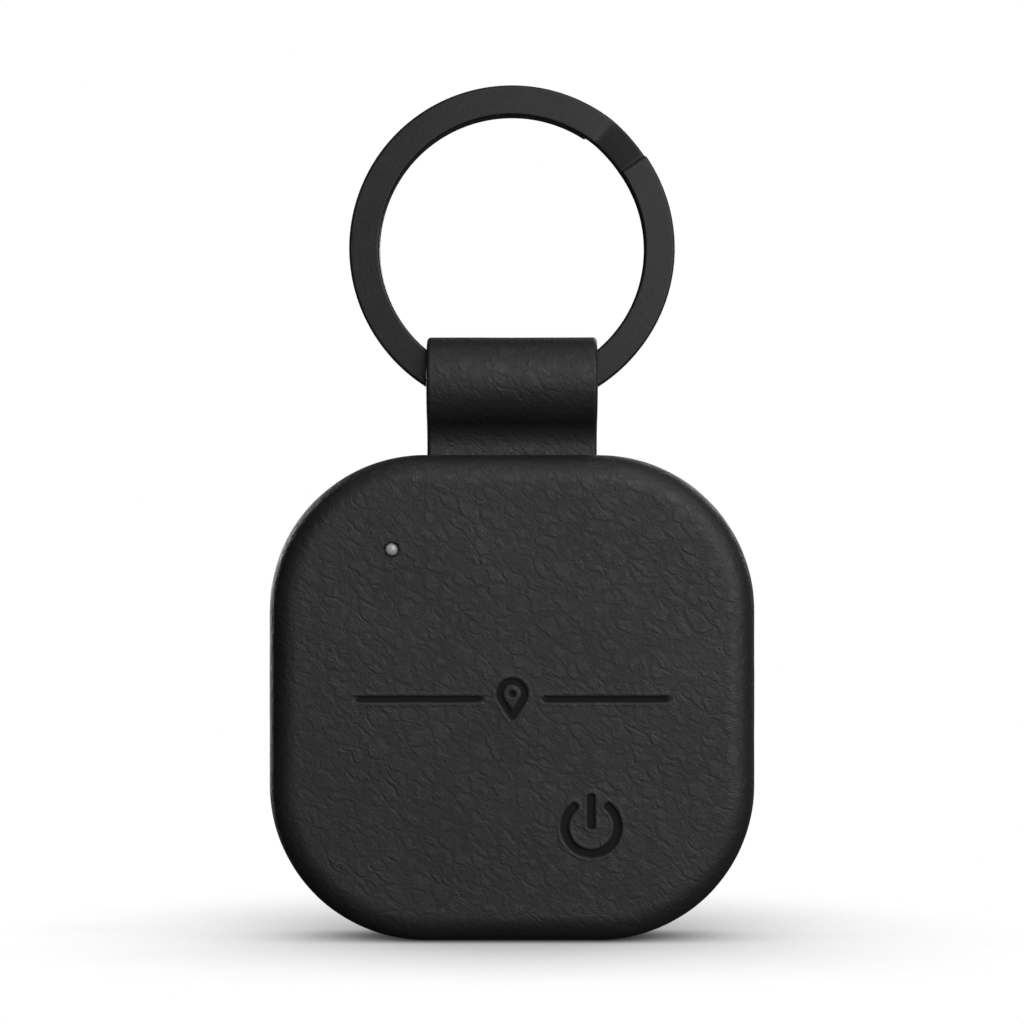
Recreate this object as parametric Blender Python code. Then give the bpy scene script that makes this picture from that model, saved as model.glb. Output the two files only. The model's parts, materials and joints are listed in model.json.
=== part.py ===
"""Bluetooth tracker tag: a leather-covered case that hangs from a flat split ring by a leather strap.

Metres, +Z up, front face towards -Y. The origin is the top of the ring's inner wall, where a hook or a
bag loop carries the tag, so the strap and the case hang below it.
"""

from math import asin, cos, pi, radians, sin, sqrt

import bmesh
import bpy
from mathutils import Matrix, Vector

MM = 0.001

# Driving dimensions
RING_OUTER = 14.0 * MM  # radius
RING_INNER = 11.4 * MM  # radius
RING_THICKNESS = 2.0 * MM  # both turns together
STRAP_WIDTH = 14.6 * MM
STRAP_LAYER = 0.75 * MM  # one layer of leather
LOOP_BORE = 3.0 * MM  # inside radius of the round loop that holds the ring
CASE_WIDTH = 41.5 * MM
CASE_THICKNESS = 8.0 * MM
CORNER_RADIUS = 13.3 * MM
EDGE_RADIUS = 2.4 * MM
LEATHER = 0.7 * MM
SHELL = 0.9 * MM
GAP = 0.05 * MM  # between parts that rest on each other
LOOP_TO_CASE = 6.42 * MM  # from the loop's axis down to the top of the case
BUTTON_TRAVEL = 0.25 * MM
BUTTON_RADIUS = 4.4 * MM
PLUNGER_RADIUS = 3.6 * MM
LENS_RADIUS = 0.55 * MM
MARK_DEPTH = 0.25 * MM  # of the power sign pressed into the leather
RUNNING = 0.1 * MM  # round anything that slides or passes through a hole

# Screws and the holes for them, all radii
CASE_SCREW = 0.6 * MM
BOARD_SCREW = 0.5 * MM
CASE_HEAD = 1.2 * MM
BOARD_HEAD = 1.1 * MM
HEAD_THICK = 0.45 * MM
PILOT_ROOM = 0.05 * MM  # a pilot hole is this much wider than its screw
CLEARANCE = 0.15 * MM  # a through hole is this much wider than its screw

# Places on the case, from its centre: right, up
LED_AT = (-10.2 * MM, 12.7 * MM)
BUTTON_AT = (6.7 * MM, -10.85 * MM)
CASE_SCREWS_AT = 13.8 * MM
BOARD_SCREWS_AT = 14.2 * MM
STRAP_SCREWS_AT = (4.2 * MM, 16.9 * MM)
BUZZER_AT = (-5.5 * MM, -6.5 * MM)

# Levels worked out from them
HALF = CASE_WIDTH / 2
FACE = CASE_THICKNESS / 2
SHELL_OUT = LEATHER + GAP  # inset of the shells' outside from the leather's outside
SHELL_IN = SHELL_OUT + SHELL
SEAM = 0.12 * MM  # half the gap between the front and the rear half
CAVITY = FACE - SHELL_IN
RING_CENTRE_Z = -RING_INNER
BAND_TOP = sqrt(RING_INNER**2 - (STRAP_WIDTH / 2) ** 2)  # the ring's highest metal inside the loop
LOOP_Z = RING_CENTRE_Z - (BAND_TOP + RING_OUTER) / 2
CASE_TOP_Z = LOOP_Z - LOOP_TO_CASE
CASE_Z = CASE_TOP_Z - HALF
BEND_RISE = 0.4 * MM  # the strap bends this far above the case's top
BEND_Z = CASE_TOP_Z + BEND_RISE
STEM = STRAP_LAYER + GAP  # half the thickness of the strap below the loop
SLOT = STEM + 0.15 * MM  # half the width of the slot that the strap enters by
TAIL_BOTTOM = 15.0 * MM  # above the case's centre
BOARD_FRONT = -1.1 * MM
BOARD_REAR = -0.3 * MM
BOARD_HALF = 16.1 * MM
SOLDER = BOARD_FRONT - GAP  # where the pieces on the board's front end
WALL_BITE = CAVITY + 0.4 * MM  # what is joined to a shell reaches this far into its wall
PILOT_END = -2.4 * MM  # the screw holes in the front shell stop here
SCREW_END = -2.2 * MM
SWITCH_ROD = 0.7 * MM  # radius
SWITCH_WELL = -1.25 * MM  # floor of the hole in the switch
BUZZER_FRONT = -CAVITY + GAP

ROUND = 24  # sides of a small round piece
CORNER_STEPS = 7

FINISHES = {
    "black_leather": ((0.030, 0.030, 0.031), 0.55, 0.0),
    "black_steel": ((0.035, 0.035, 0.037), 0.35, 0.6),
    "steel": ((0.55, 0.55, 0.56), 0.3, 1.0),
    "shell_plastic": ((0.02, 0.02, 0.022), 0.5, 0.0),
    "seal_rubber": ((0.012, 0.012, 0.012), 0.8, 0.0),
    "lens": ((0.45, 0.45, 0.45), 0.2, 0.0),
    "board": ((0.01, 0.09, 0.04), 0.4, 0.0),
    "chip": ((0.02, 0.02, 0.02), 0.6, 0.0),
    "white_ceramic": ((0.75, 0.74, 0.7), 0.5, 0.0),
    "brass": ((0.7, 0.5, 0.2), 0.35, 1.0),
    "copper": ((0.6, 0.25, 0.12), 0.35, 1.0),
    "ferrite": ((0.05, 0.05, 0.055), 0.6, 0.0),
    "battery_foil": ((0.6, 0.6, 0.62), 0.35, 0.9),
    "tape": ((0.6, 0.58, 0.5), 0.9, 0.0),
    "red_wire": ((0.5, 0.02, 0.02), 0.5, 0.0),
    "black_wire": ((0.015, 0.015, 0.015), 0.5, 0.0),
}


# ---------------------------------------------------------------- tools


def clear_scene():
    for obj in list(bpy.data.objects):
        bpy.data.objects.remove(obj)


def finish(name):
    """The material of that name, made the first time it is asked for."""
    material = bpy.data.materials.get(name)
    if material is None:
        colour, roughness, metallic = FINISHES[name]
        material = bpy.data.materials.new(name)
        material.use_nodes = True
        shader = material.node_tree.nodes["Principled BSDF"]
        shader.inputs["Base Color"].default_value = (*colour, 1)
        shader.inputs["Roughness"].default_value = roughness
        shader.inputs["Metallic"].default_value = metallic
    return material


def pivot(name, z, parent=None, x=0.0, y=0.0):
    """An empty on a joint's axis, given in world coordinates."""
    empty = bpy.data.objects.new(name, None)
    bpy.context.scene.collection.objects.link(empty)
    empty.parent = parent
    origin = Vector((x, y, z))
    empty.location = origin - (world_origin(parent) if parent else Vector())
    return empty


def world_origin(obj):
    """Where an object's origin is: nothing here is turned, so parents only add up."""
    at = Vector()
    while obj is not None:
        at += obj.location
        obj = obj.parent
    return at


def part(name, bm, slot, parent, centre=(0, 0, 0)):
    """Makes a named object from bm, whose points are measured from centre, a point in world coordinates."""
    bmesh.ops.remove_doubles(bm, verts=bm.verts, dist=1e-7)
    bmesh.ops.recalc_face_normals(bm, faces=bm.faces)
    mesh = bpy.data.meshes.new(name)
    bm.to_mesh(mesh)
    bm.free()
    mesh.shade_smooth()
    mesh.set_sharp_from_angle(angle=radians(35))
    mesh.materials.append(finish(slot))
    obj = bpy.data.objects.new(name, mesh)
    bpy.context.scene.collection.objects.link(obj)
    obj.parent = parent
    obj.location = Vector(centre) - world_origin(parent)
    return obj


def cut(target, name, bm, centre=(0, 0, 0), operation="DIFFERENCE"):
    """Cuts bm out of target, or joins it on."""
    cutter = part(f"{target.name}_{name}_cutter", bm, "steel", target.parent, centre)
    cutter.hide_render = True
    cutter.display_type = "WIRE"
    boolean = target.modifiers.new(name, "BOOLEAN")
    boolean.object = cutter
    boolean.operation = operation
    boolean.solver = "EXACT"


def prism(outline, y_from, y_to):
    """A flat outline of (x, z) points, extruded along Y."""
    bm = bmesh.new()
    face = bm.faces.new([bm.verts.new((x, y_from, z)) for x, z in outline])
    moved = bmesh.ops.extrude_face_region(bm, geom=[face])["geom"]
    points = [item for item in moved if isinstance(item, bmesh.types.BMVert)]
    bmesh.ops.translate(bm, verts=points, vec=(0, y_to - y_from, 0))
    return bm


def box(x_from, x_to, y_from, y_to, z_from, z_to):
    corners = [(x_from, z_from), (x_to, z_from), (x_to, z_to), (x_from, z_to)]
    return prism(corners, y_from, y_to)


def loft(rings, closed=False):
    """A skin through rings of equal length, with a cap on the first and the last, or joined end to end."""
    bm = bmesh.new()
    loops = [[bm.verts.new(point) for point in ring] for ring in rings]
    pairs = list(zip(loops, loops[1:]))
    if closed:
        pairs.append((loops[-1], loops[0]))
    else:
        bm.faces.new(loops[0])
        bm.faces.new(loops[-1])
    for lower, upper in pairs:
        for i in range(len(lower)):
            bm.faces.new((lower[i - 1], lower[i], upper[i], upper[i - 1]))
    return bm


def turned(profile, x=0.0, z=0.0, sides=ROUND, closed=False):
    """A profile of (radius, y) points turned about the line along Y through x, z."""
    angles = [2 * pi * i / sides for i in range(sides)]
    return loft([[(x + r * cos(a), y, z + r * sin(a)) for a in angles] for r, y in profile], closed)


def rod(radius, y_from, y_to, x=0.0, z=0.0, sides=ROUND):
    return turned([(radius, y_from), (radius, y_to)], x, z, sides)


def tube(outer, inner, y_from, y_to, x=0.0, z=0.0, sides=ROUND):
    return turned([(inner, y_from), (outer, y_from), (outer, y_to), (inner, y_to)], x, z, sides, closed=True)


def arc(centre, radius, start, end, steps):
    """Points on an arc, angles in radians from the first axis."""
    turn = (end - start) / steps
    return [
        (centre[0] + radius * cos(start + turn * i), centre[1] + radius * sin(start + turn * i))
        for i in range(steps + 1)
    ]


def rounded_square(half, radius, steps=CORNER_STEPS):
    """Outline points of a square with round corners, anticlockwise from the middle right."""
    middle = half - radius
    points = []
    for quarter, (sign_x, sign_z) in enumerate(((1, 1), (-1, 1), (-1, -1), (1, -1))):
        turn = quarter * pi / 2
        points += arc((sign_x * middle, sign_z * middle), radius, turn, turn + pi / 2, steps)
    return points


def case_ring(inset, y):
    """The case's outline, inset from its outside, at depth y."""
    return [(x, y, z) for x, z in rounded_square(HALF - inset, CORNER_RADIUS - inset)]


def edge_rings(inset, side, steps=4):
    """(inset, y) pairs that round the edge of a wall lying inset below the leather, from face to side."""
    radius = EDGE_RADIUS - inset
    pairs = []
    for i in range(steps + 1):
        turn = pi / 2 * i / steps
        pairs.append((EDGE_RADIUS - radius * sin(turn), side * (FACE - EDGE_RADIUS + radius * cos(turn))))
    return pairs


def cup(outer, inner, side):
    """One half of a hollow case: side is -1 for the front and 1 for the rear."""
    outside = edge_rings(outer, side) + [(outer, side * SEAM)]
    inside = [(inner, side * SEAM)] + edge_rings(inner, side)[::-1]
    return loft([case_ring(inset, y) for inset, y in outside + inside])


def screw(name, parent, x, z, head_y, tip_y, head, shank, centre):
    """A pan-head screw along Y with a tapered driver recess; its head is at head_y and its tip in front."""
    under = head_y - HEAD_THICK
    profile = [
        (head * 0.3, head_y - 0.25 * MM),
        (head * 0.45, head_y),
        (head, head_y),
        (head, under),
        (shank, under),
        (shank, tip_y),
    ]
    return part(name, turned(profile, x, z, 12), "steel", parent, centre)


def wire(name, slot, parent, centre, points, radius):
    """A thin lead through points measured from centre."""
    curve = bpy.data.curves.new(name, "CURVE")
    curve.dimensions = "3D"
    curve.bevel_depth = radius
    curve.bevel_resolution = 1
    curve.use_fill_caps = True
    spline = curve.splines.new("POLY")
    spline.points.add(len(points) - 1)
    for point, place in zip(spline.points, points):
        point.co = (*place, 1)
    curve.materials.append(finish(slot))
    obj = bpy.data.objects.new(name, curve)
    bpy.context.scene.collection.objects.link(obj)
    obj.parent = parent
    obj.location = Vector(centre) - world_origin(parent)
    return obj


def smooth_route(points, steps=4):
    """Points along a Catmull-Rom curve through the given ones."""
    ends = [2 * Vector(points[0]) - Vector(points[1])], [2 * Vector(points[-1]) - Vector(points[-2])]
    knots = ends[0] + [Vector(p) for p in points] + ends[1]
    route = []
    for a, b, c, d in zip(knots, knots[1:], knots[2:], knots[3:]):
        for i in range(steps):
            t = i / steps
            cubic = 2 * b + (c - a) * t + (2 * a - 5 * b + 4 * c - d) * t**2 + (3 * b - a - 3 * c + d) * t**3
            route.append(cubic / 2)
    return route + [knots[-2]]


# ---------------------------------------------------------------- key ring


def split_ring(parent):
    """Flat wire wound twice: the front turn ends at free_end, and the jog beside it drops to the rear."""
    free_end, jog_end, jog_start, rear_end = (radians(a) for a in (35, 37, 55, 56.6))
    turn_gap = 0.04 * MM
    chamfer = 0.15 * MM
    layer = (RING_THICKNESS - turn_gap) / 2
    level = (layer + turn_gap) / 2
    front_sweep = 2 * pi - (jog_start - free_end)
    jog_sweep = jog_start - jog_end
    rear_sweep = 2 * pi - (rear_end - jog_end)
    half_y = layer / 2
    corners = [
        (RING_INNER, -half_y + chamfer),
        (RING_INNER + chamfer, -half_y),
        (RING_OUTER - chamfer, -half_y),
        (RING_OUTER, -half_y + chamfer),
        (RING_OUTER, half_y - chamfer),
        (RING_OUTER - chamfer, half_y),
        (RING_INNER + chamfer, half_y),
        (RING_INNER, half_y - chamfer),
    ]
    stations = []
    steps = 50
    stations += [(free_end - front_sweep * i / steps, -level) for i in range(steps)]
    jog_steps = 8
    for i in range(jog_steps):
        share = i / jog_steps
        stations.append((jog_start - jog_sweep * share, -level * cos(pi * share)))
    stations += [(jog_end - rear_sweep * i / steps, level) for i in range(steps + 1)]
    rings = [[(r * cos(a), y + dy, r * sin(a)) for r, dy in corners] for a, y in stations]
    return part("key_ring", loft(rings), "black_steel", parent, (0, 0, RING_CENTRE_Z))


# ---------------------------------------------------------------- strap


def strap_side(offset):
    """Right-hand profile of the loop, (y, z) from its axis, pulled in by offset from the leather's outside.

    An arc over the top turns on to flare below the level, a short straight runs on, and a hollow arc
    brings the two layers together.
    """
    flare = radians(50)
    hollow = 3.7 * MM
    outer = LOOP_BORE + STRAP_LAYER
    straight = (outer * cos(flare) - STEM - hollow * (1 - cos(flare))) / sin(flare)
    top = arc((0, 0), outer - offset, pi / 2, -flare, 12)
    centre_y = STEM + hollow
    centre_z = -outer * sin(flare) - straight * cos(flare) - hollow * sin(flare)
    bend = arc((centre_y, centre_z), hollow + offset, pi - flare, pi, 6)
    return top + bend


def along_x(outline, half_width):
    """An outline of (y, z) points, extruded evenly to both sides along X."""
    bm = prism(outline, -half_width, half_width)
    swap = Matrix(((0, 1, 0, 0), (1, 0, 0, 0), (0, 0, 1, 0), (0, 0, 0, 1)))
    bmesh.ops.transform(bm, matrix=swap, verts=bm.verts)
    return bm


def mirrored(side):
    """A right-hand profile from top to bottom, closed by its mirror image on the left."""
    return side + [(-y, z) for y, z in reversed(side) if abs(y) > 1e-9]


def leather_strap(parent):
    bend = BEND_Z - LOOP_Z
    half_turn = arc((0, bend), STEM, 0, -pi / 2, 6)
    outside = mirrored(strap_side(0) + half_turn)
    strap = part("leather_strap", along_x(outside, STRAP_WIDTH / 2), "black_leather", parent, (0, 0, LOOP_Z))
    narrowest = 0.08 * MM
    inside = [point for point in strap_side(STRAP_LAYER) if point[0] > narrowest or point[1] > 0]
    cut(strap, "bore", along_x(mirrored(inside), STRAP_WIDTH), (0, 0, LOOP_Z))
    return strap


def strap_tail(parent, centre):
    """The two ends of the strap, inside the case, with holes for the clamp's screws."""
    top = HALF + BEND_RISE - STEM - RUNNING
    half = STRAP_WIDTH / 2
    block = box(-half, half, -STEM, STEM, TAIL_BOTTOM, top)
    tail = part("strap_tail", block, "black_leather", parent, centre)
    for side in (-1, 1):
        hole = rod(CASE_SCREW + CLEARANCE, -FACE, FACE, side * STRAP_SCREWS_AT[0], STRAP_SCREWS_AT[1], 12)
        cut(tail, f"hole{side}", hole, centre)


def strap_clamp(parent, centre):
    """The steel plate that pinches the tail against the front shell's ledge, and its two screws."""
    front = STEM + GAP
    rear = front + 0.5 * MM
    outline = (-8.0 * MM, 8.0 * MM, front, rear, 15.1 * MM, 18.3 * MM)
    plate = part("strap_clamp_plate", box(*outline), "steel", parent, centre)
    head = rear + GAP + HEAD_THICK
    tip = -1.9 * MM
    for side, name in ((-1, "left"), (1, "right")):
        x, z = side * STRAP_SCREWS_AT[0], STRAP_SCREWS_AT[1]
        cut(plate, f"hole{side}", rod(CASE_SCREW + CLEARANCE, 0, FACE, x, z, 12), centre)
        screw(f"strap_screw_{name}", parent, x, z, head, tip, CASE_HEAD, CASE_SCREW, centre)


# ---------------------------------------------------------------- case


def slot_box(depth):
    """The space that the strap passes through, from the top of the case down by depth."""
    half = STRAP_WIDTH / 2 + CLEARANCE
    return box(-half, half, -SLOT, SLOT, HALF - depth, HALF + MM)


def leather_cover(name, side, parent, centre):
    skin = part(name, cup(0, LEATHER, side), "black_leather", parent, centre)
    cut(skin, "slot", slot_box(EDGE_RADIUS), centre)
    return skin


def front_leather(parent, centre):
    skin = leather_cover("front_leather", -1, parent, centre)
    depth = -FACE + EDGE_RADIUS
    cut(skin, "led_hole", rod(LENS_RADIUS + RUNNING, -FACE - MM, depth, *LED_AT), centre)
    cut(skin, "button_hole", rod(BUTTON_RADIUS + RUNNING, -FACE - MM, depth, *BUTTON_AT, 40), centre)


def case_corners():
    return [(x * CASE_SCREWS_AT, z * CASE_SCREWS_AT) for x in (-1, 1) for z in (-1, 1)]


def front_shell(parent, centre):
    """A plastic cup with a ledge for the strap, four bosses for the case screws and two for the board."""
    shell = part("front_shell", cup(SHELL_OUT, SHELL_IN, -1), "shell_plastic", parent, centre)
    ledge_top = HALF - SHELL_IN + 0.4 * MM
    ledge = box(-9.0 * MM, 9.0 * MM, -WALL_BITE, -STEM - GAP, TAIL_BOTTOM, ledge_top)
    cut(shell, "ledge", ledge, centre, "UNION")
    for number, (x, z) in enumerate(case_corners()):
        cut(shell, f"boss{number}", rod(1.5 * MM, -WALL_BITE, -GAP, x, z, 16), centre, "UNION")
        cut(shell, f"pilot{number}", rod(CASE_SCREW + PILOT_ROOM, PILOT_END, MM, x, z, 12), centre)
    for side in (-1, 1):
        x = side * BOARD_SCREWS_AT
        cut(shell, f"post{side}", rod(1.4 * MM, -WALL_BITE, SOLDER, x, 0, 16), centre, "UNION")
        cut(shell, f"post_hole{side}", rod(BOARD_SCREW + PILOT_ROOM, PILOT_END, 0, x, 0, 12), centre)
        x, z = side * STRAP_SCREWS_AT[0], STRAP_SCREWS_AT[1]
        cut(shell, f"ledge_hole{side}", rod(CASE_SCREW + PILOT_ROOM, SCREW_END, 0, x, z, 12), centre)
    cut(shell, "slot", slot_box(EDGE_RADIUS), centre)
    cut(shell, "led_hole", rod(LENS_RADIUS + RUNNING, -FACE, 0, *LED_AT), centre)
    cut(shell, "plunger_hole", rod(PLUNGER_RADIUS + CLEARANCE, -FACE, -MM, *BUTTON_AT, 32), centre)
    give = -FACE + SHELL_OUT + BUTTON_TRAVEL + RUNNING
    cut(shell, "pad_room", rod(BUTTON_RADIUS + CLEARANCE, -FACE, give, *BUTTON_AT, 40), centre)


def rear_shell(parent, centre):
    """The other cup: a lip inside the front shell, and four screw bosses sunk from behind."""
    lip_out = SHELL_IN + GAP
    lip_in = lip_out + 0.5 * MM
    lip_end = -0.9 * MM
    lip_root = FACE - EDGE_RADIUS - (EDGE_RADIUS - SHELL_IN)
    profile = edge_rings(SHELL_OUT, 1)
    profile += [(SHELL_OUT, SEAM), (lip_out, SEAM), (lip_out, lip_end), (lip_in, lip_end), (lip_in, lip_root)]
    profile += edge_rings(SHELL_IN, 1)[::-1]
    skin = loft([case_ring(inset, y) for inset, y in profile])
    shell = part("rear_shell", skin, "shell_plastic", parent, centre)
    seat = 2.5 * MM - HEAD_THICK - GAP
    for number, (x, z) in enumerate(case_corners()):
        cut(shell, f"relief{number}", rod(1.6 * MM, 2 * lip_end, 0.2 * MM, x, z, 16), centre)
        cut(shell, f"boss{number}", rod(1.7 * MM, GAP, WALL_BITE, x, z, 16), centre, "UNION")
        cut(shell, f"sink{number}", rod(CASE_HEAD + RUNNING, seat, FACE, x, z, 16), centre)
        cut(shell, f"hole{number}", rod(CASE_SCREW + CLEARANCE, 0, FACE, x, z, 12), centre)
    cut(shell, "slot", slot_box(EDGE_RADIUS), centre)
    ledge_room = box(-9.1 * MM, 9.1 * MM, 2 * lip_end, SLOT, TAIL_BOTTOM - MM, HALF - SHELL_IN)
    cut(shell, "ledge_room", ledge_room, centre)


def case_seal(parent, centre):
    """A thin gasket between the two rims; it shows as the dark line round the edge."""
    half = SEAM - GAP
    outer = 0.4 * MM
    outline = [(outer, -half), (SHELL_IN, -half), (SHELL_IN, half), (outer, half)]
    bm = loft([case_ring(inset, y) for inset, y in outline], closed=True)
    seal = part("case_seal", bm, "seal_rubber", parent, centre)
    cut(seal, "slot", slot_box(EDGE_RADIUS + 0.2 * MM), centre)


def case_screws(parent, centre):
    for number, (x, z) in enumerate(case_corners(), 1):
        screw(f"case_screw_{number}", parent, x, z, 2.5 * MM, SCREW_END, CASE_HEAD, CASE_SCREW, centre)


# ---------------------------------------------------------------- light and button


def led_lens(parent, centre):
    """A light pipe with a domed end just below the leather and a flange behind the shell."""
    tip = -FACE + 0.2 * MM
    dome = 0.35 * MM
    flange = -CAVITY + GAP
    bend = [radians(a) for a in (15, 40, 65, 90)]
    profile = [(LENS_RADIUS * sin(a), tip + dome * (1 - cos(a))) for a in bend]
    profile += [(LENS_RADIUS, flange), (2 * LENS_RADIUS, flange), (2 * LENS_RADIUS, flange + 0.35 * MM)]
    part("led_lens", turned(profile, *LED_AT, 20), "lens", parent, centre)


def power_mark(y_from, y_to):
    """The power sign as a pair of cutters: an open ring and a bar with round ends."""
    radius, stroke, opening = 2.25 * MM, 0.66 * MM, radians(40)
    start, end = pi / 2 + opening, pi / 2 + 2 * pi - opening
    outer = arc((0, 0), radius + stroke / 2, start, end, 28)
    inner = arc((0, 0), radius - stroke / 2, end, start, 28)
    ring_end = (radius * cos(end), radius * sin(end))
    ring_start = (radius * cos(start), radius * sin(start))
    cap_end = arc(ring_end, stroke / 2, end, end + pi, 6)[1:-1]
    cap_start = arc(ring_start, stroke / 2, start + pi, start + 2 * pi, 6)[1:-1]
    ring = prism(outer + cap_end + inner + cap_start, y_from, y_to)
    top, bottom = 2.49 * MM, 0.16 * MM
    bar = arc((0, top), stroke / 2, 0, pi, 6) + arc((0, bottom), stroke / 2, pi, 2 * pi, 6)
    return ring, prism(bar, y_from, y_to)


def power_button(parent, centre):
    """The part of the leather that gives, the plunger under it and the switch's own push rod."""
    x, z = BUTTON_AT
    middle = (centre[0] + x, centre[1], centre[2] + z)
    disc = rod(BUTTON_RADIUS, -FACE, -FACE + LEATHER, sides=40)
    pad = part("button_pad", disc, "black_leather", parent, middle)
    for name, mark in zip(("ring", "bar"), power_mark(-FACE - MM, -FACE + MARK_DEPTH)):
        cut(pad, name, mark, middle)
    head = -FACE + SHELL_OUT
    back = head + 0.7 * MM
    stem, stem_end = 0.9 * MM, -2.0 * MM
    plunger = [(PLUNGER_RADIUS, head), (PLUNGER_RADIUS, back), (stem, back), (stem, stem_end)]
    part("button_plunger", turned(plunger, sides=32), "shell_plastic", parent, middle)
    push = rod(SWITCH_ROD, stem_end + GAP, SWITCH_WELL - BUTTON_TRAVEL - GAP, sides=16)
    part("switch_rod", push, "steel", parent, middle)


# ---------------------------------------------------------------- electronics


def circuit_board(parent, centre):
    outline = rounded_square(BOARD_HALF, 12.0 * MM)
    board = part("circuit_board", prism(outline, BOARD_FRONT, BOARD_REAR), "board", parent, centre)
    notch = box(-9.3 * MM, 9.3 * MM, -FACE, FACE, TAIL_BOTTOM - 0.6 * MM, HALF)
    cut(board, "strap_notch", notch, centre)
    head = BOARD_REAR + GAP + HEAD_THICK
    for side, name in ((-1, "left"), (1, "right")):
        x = side * BOARD_SCREWS_AT
        cut(board, f"hole{side}", rod(BOARD_SCREW + CLEARANCE, -FACE, FACE, x, 0, 12), centre)
        screw(f"board_screw_{name}", parent, x, 0, head, SCREW_END, BOARD_HEAD, BOARD_SCREW, centre)


def surface_part(name, slot, parent, centre, x, z, width, height, thick):
    """A block soldered to the board's front."""
    block = box(x - width / 2, x + width / 2, SOLDER - thick, SOLDER, z - height / 2, z + height / 2)
    return part(name, block, slot, parent, centre)


def electronics(parent, centre):
    pieces = (  # name, finish, right, up, width, height, thickness in mm
        ("radio_module", "steel", 3.0, 5.5, 7.5, 6.0, 0.9),
        ("chip_antenna", "white_ceramic", 10.5, 8.0, 2.0, 5.0, 0.8),
        ("charger_chip", "chip", -6.0, 5.0, 3.0, 3.0, 0.6),
        ("crystal", "steel", 3.5, 0.2, 2.5, 1.6, 0.5),
        ("led_chip", "white_ceramic", LED_AT[0] / MM, LED_AT[1] / MM, 1.6, 0.8, 0.6),
        ("switch_body", "chip", BUTTON_AT[0] / MM, BUTTON_AT[1] / MM, 3.2, 3.2, 0.6),
    )
    for name, slot, *sizes in pieces:
        made = surface_part(name, slot, parent, centre, *(size * MM for size in sizes))
    cut(made, "well", rod(SWITCH_ROD + RUNNING, -FACE, SWITCH_WELL, *BUTTON_AT, 16), centre)


def buzzer(parent, centre):
    """A piezo sounder: a brass disc close behind the front shell, its ceramic, and two contact pins."""
    x, z = BUZZER_AT
    thick = 0.15 * MM
    disc_back = BUZZER_FRONT + thick
    ceramic_front = disc_back + GAP
    ceramic_back = ceramic_front + thick
    part("buzzer_disc", rod(6.0 * MM, BUZZER_FRONT, disc_back, x, z, 36), "brass", parent, centre)
    ceramic = rod(4.2 * MM, ceramic_front, ceramic_back, x, z, 32)
    part("buzzer_ceramic", ceramic, "white_ceramic", parent, centre)
    for number, away, start in ((1, 5.1 * MM, disc_back + GAP), (2, 0.0, ceramic_back + GAP)):
        pin = rod(0.4 * MM, start, SOLDER, x + away, z, 12)
        part(f"buzzer_pin_{number}", pin, "brass", parent, centre)


def battery(parent, centre):
    """A pouch cell taped to the back of the board, and its two leads."""
    tape_rear = -0.1 * MM
    tape = box(-10.0 * MM, 10.0 * MM, BOARD_REAR + GAP, tape_rear, -7.0 * MM, 7.0 * MM)
    part("battery_tape", tape, "tape", parent, centre)
    front, thick = tape_rear + GAP, 1.5 * MM
    block = box(-12.0 * MM, 12.0 * MM, front, front + thick, -9.0 * MM, 9.0 * MM)
    pouch = part("battery", block, "battery_foil", parent, centre)
    bevel = pouch.modifiers.new("soft_edges", "BEVEL")
    bevel.width = 0.4 * MM
    bevel.segments = 2
    stops = ((0.7, 9.1), (0.7, 10.2), (0.2, 11.4), (0.05, 12.4), (0.05, 13.2))  # depth and height in mm
    for x, name in ((-1.5 * MM, "red"), (1.5 * MM, "black")):
        route = smooth_route([(x, y * MM, z * MM) for y, z in stops], 3)
        wire(f"battery_lead_{name}", f"{name}_wire", parent, centre, route, 0.28 * MM)


def charging_coil(parent, centre):
    """The flat receiving coil with its ferrite sheet, in front of the rear shell, and its two leads."""
    low = -1.0 * MM
    ferrite = rod(15.3 * MM, 1.5 * MM, 1.75 * MM, 0, low, 48)
    part("coil_shield", ferrite, "ferrite", parent, centre)
    coil = tube(15.0 * MM, 7.5 * MM, 1.8 * MM, 2.25 * MM, 0, low, 48)
    part("charging_coil", coil, "copper", parent, centre)
    stops = ((2.02, -16.1), (2.0, -16.9), (1.2, -17.3), (0.4, -16.9), (0.02, -16.0), (-0.02, -15.0))
    for x, name in ((-1.2 * MM, "left"), (1.2 * MM, "right")):
        route = smooth_route([(x, y * MM, z * MM) for y, z in stops], 3)
        wire(f"coil_lead_{name}", "copper", parent, centre, route, 0.2 * MM)


# ---------------------------------------------------------------- the object


def main():
    clear_scene()
    ring = pivot("ring_frame", RING_CENTRE_Z)
    strap = pivot("loop_axis", LOOP_Z, ring)
    case = pivot("bend_axis", BEND_Z, strap)
    button = pivot("button_axis", CASE_Z + BUTTON_AT[1], case, BUTTON_AT[0])
    centre = (0, 0, CASE_Z)

    split_ring(ring)
    leather_strap(strap)
    strap_tail(case, centre)
    strap_clamp(case, centre)
    front_leather(case, centre)
    front_shell(case, centre)
    case_seal(case, centre)
    rear_shell(case, centre)
    leather_cover("rear_leather", 1, case, centre)
    case_screws(case, centre)
    led_lens(case, centre)
    power_button(button, centre)
    circuit_board(case, centre)
    electronics(case, centre)
    buzzer(case, centre)
    battery(case, centre)
    charging_coil(case, centre)


main()
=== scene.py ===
"""Bluetooth tracker tag: the finished leather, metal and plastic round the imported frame.

Everything is in metres and in the frame's own axes: +Z up, the face with the light and the button
towards -Y, the origin at the top of the key ring's inner wall.
"""

import json
from math import pi, radians

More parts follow.
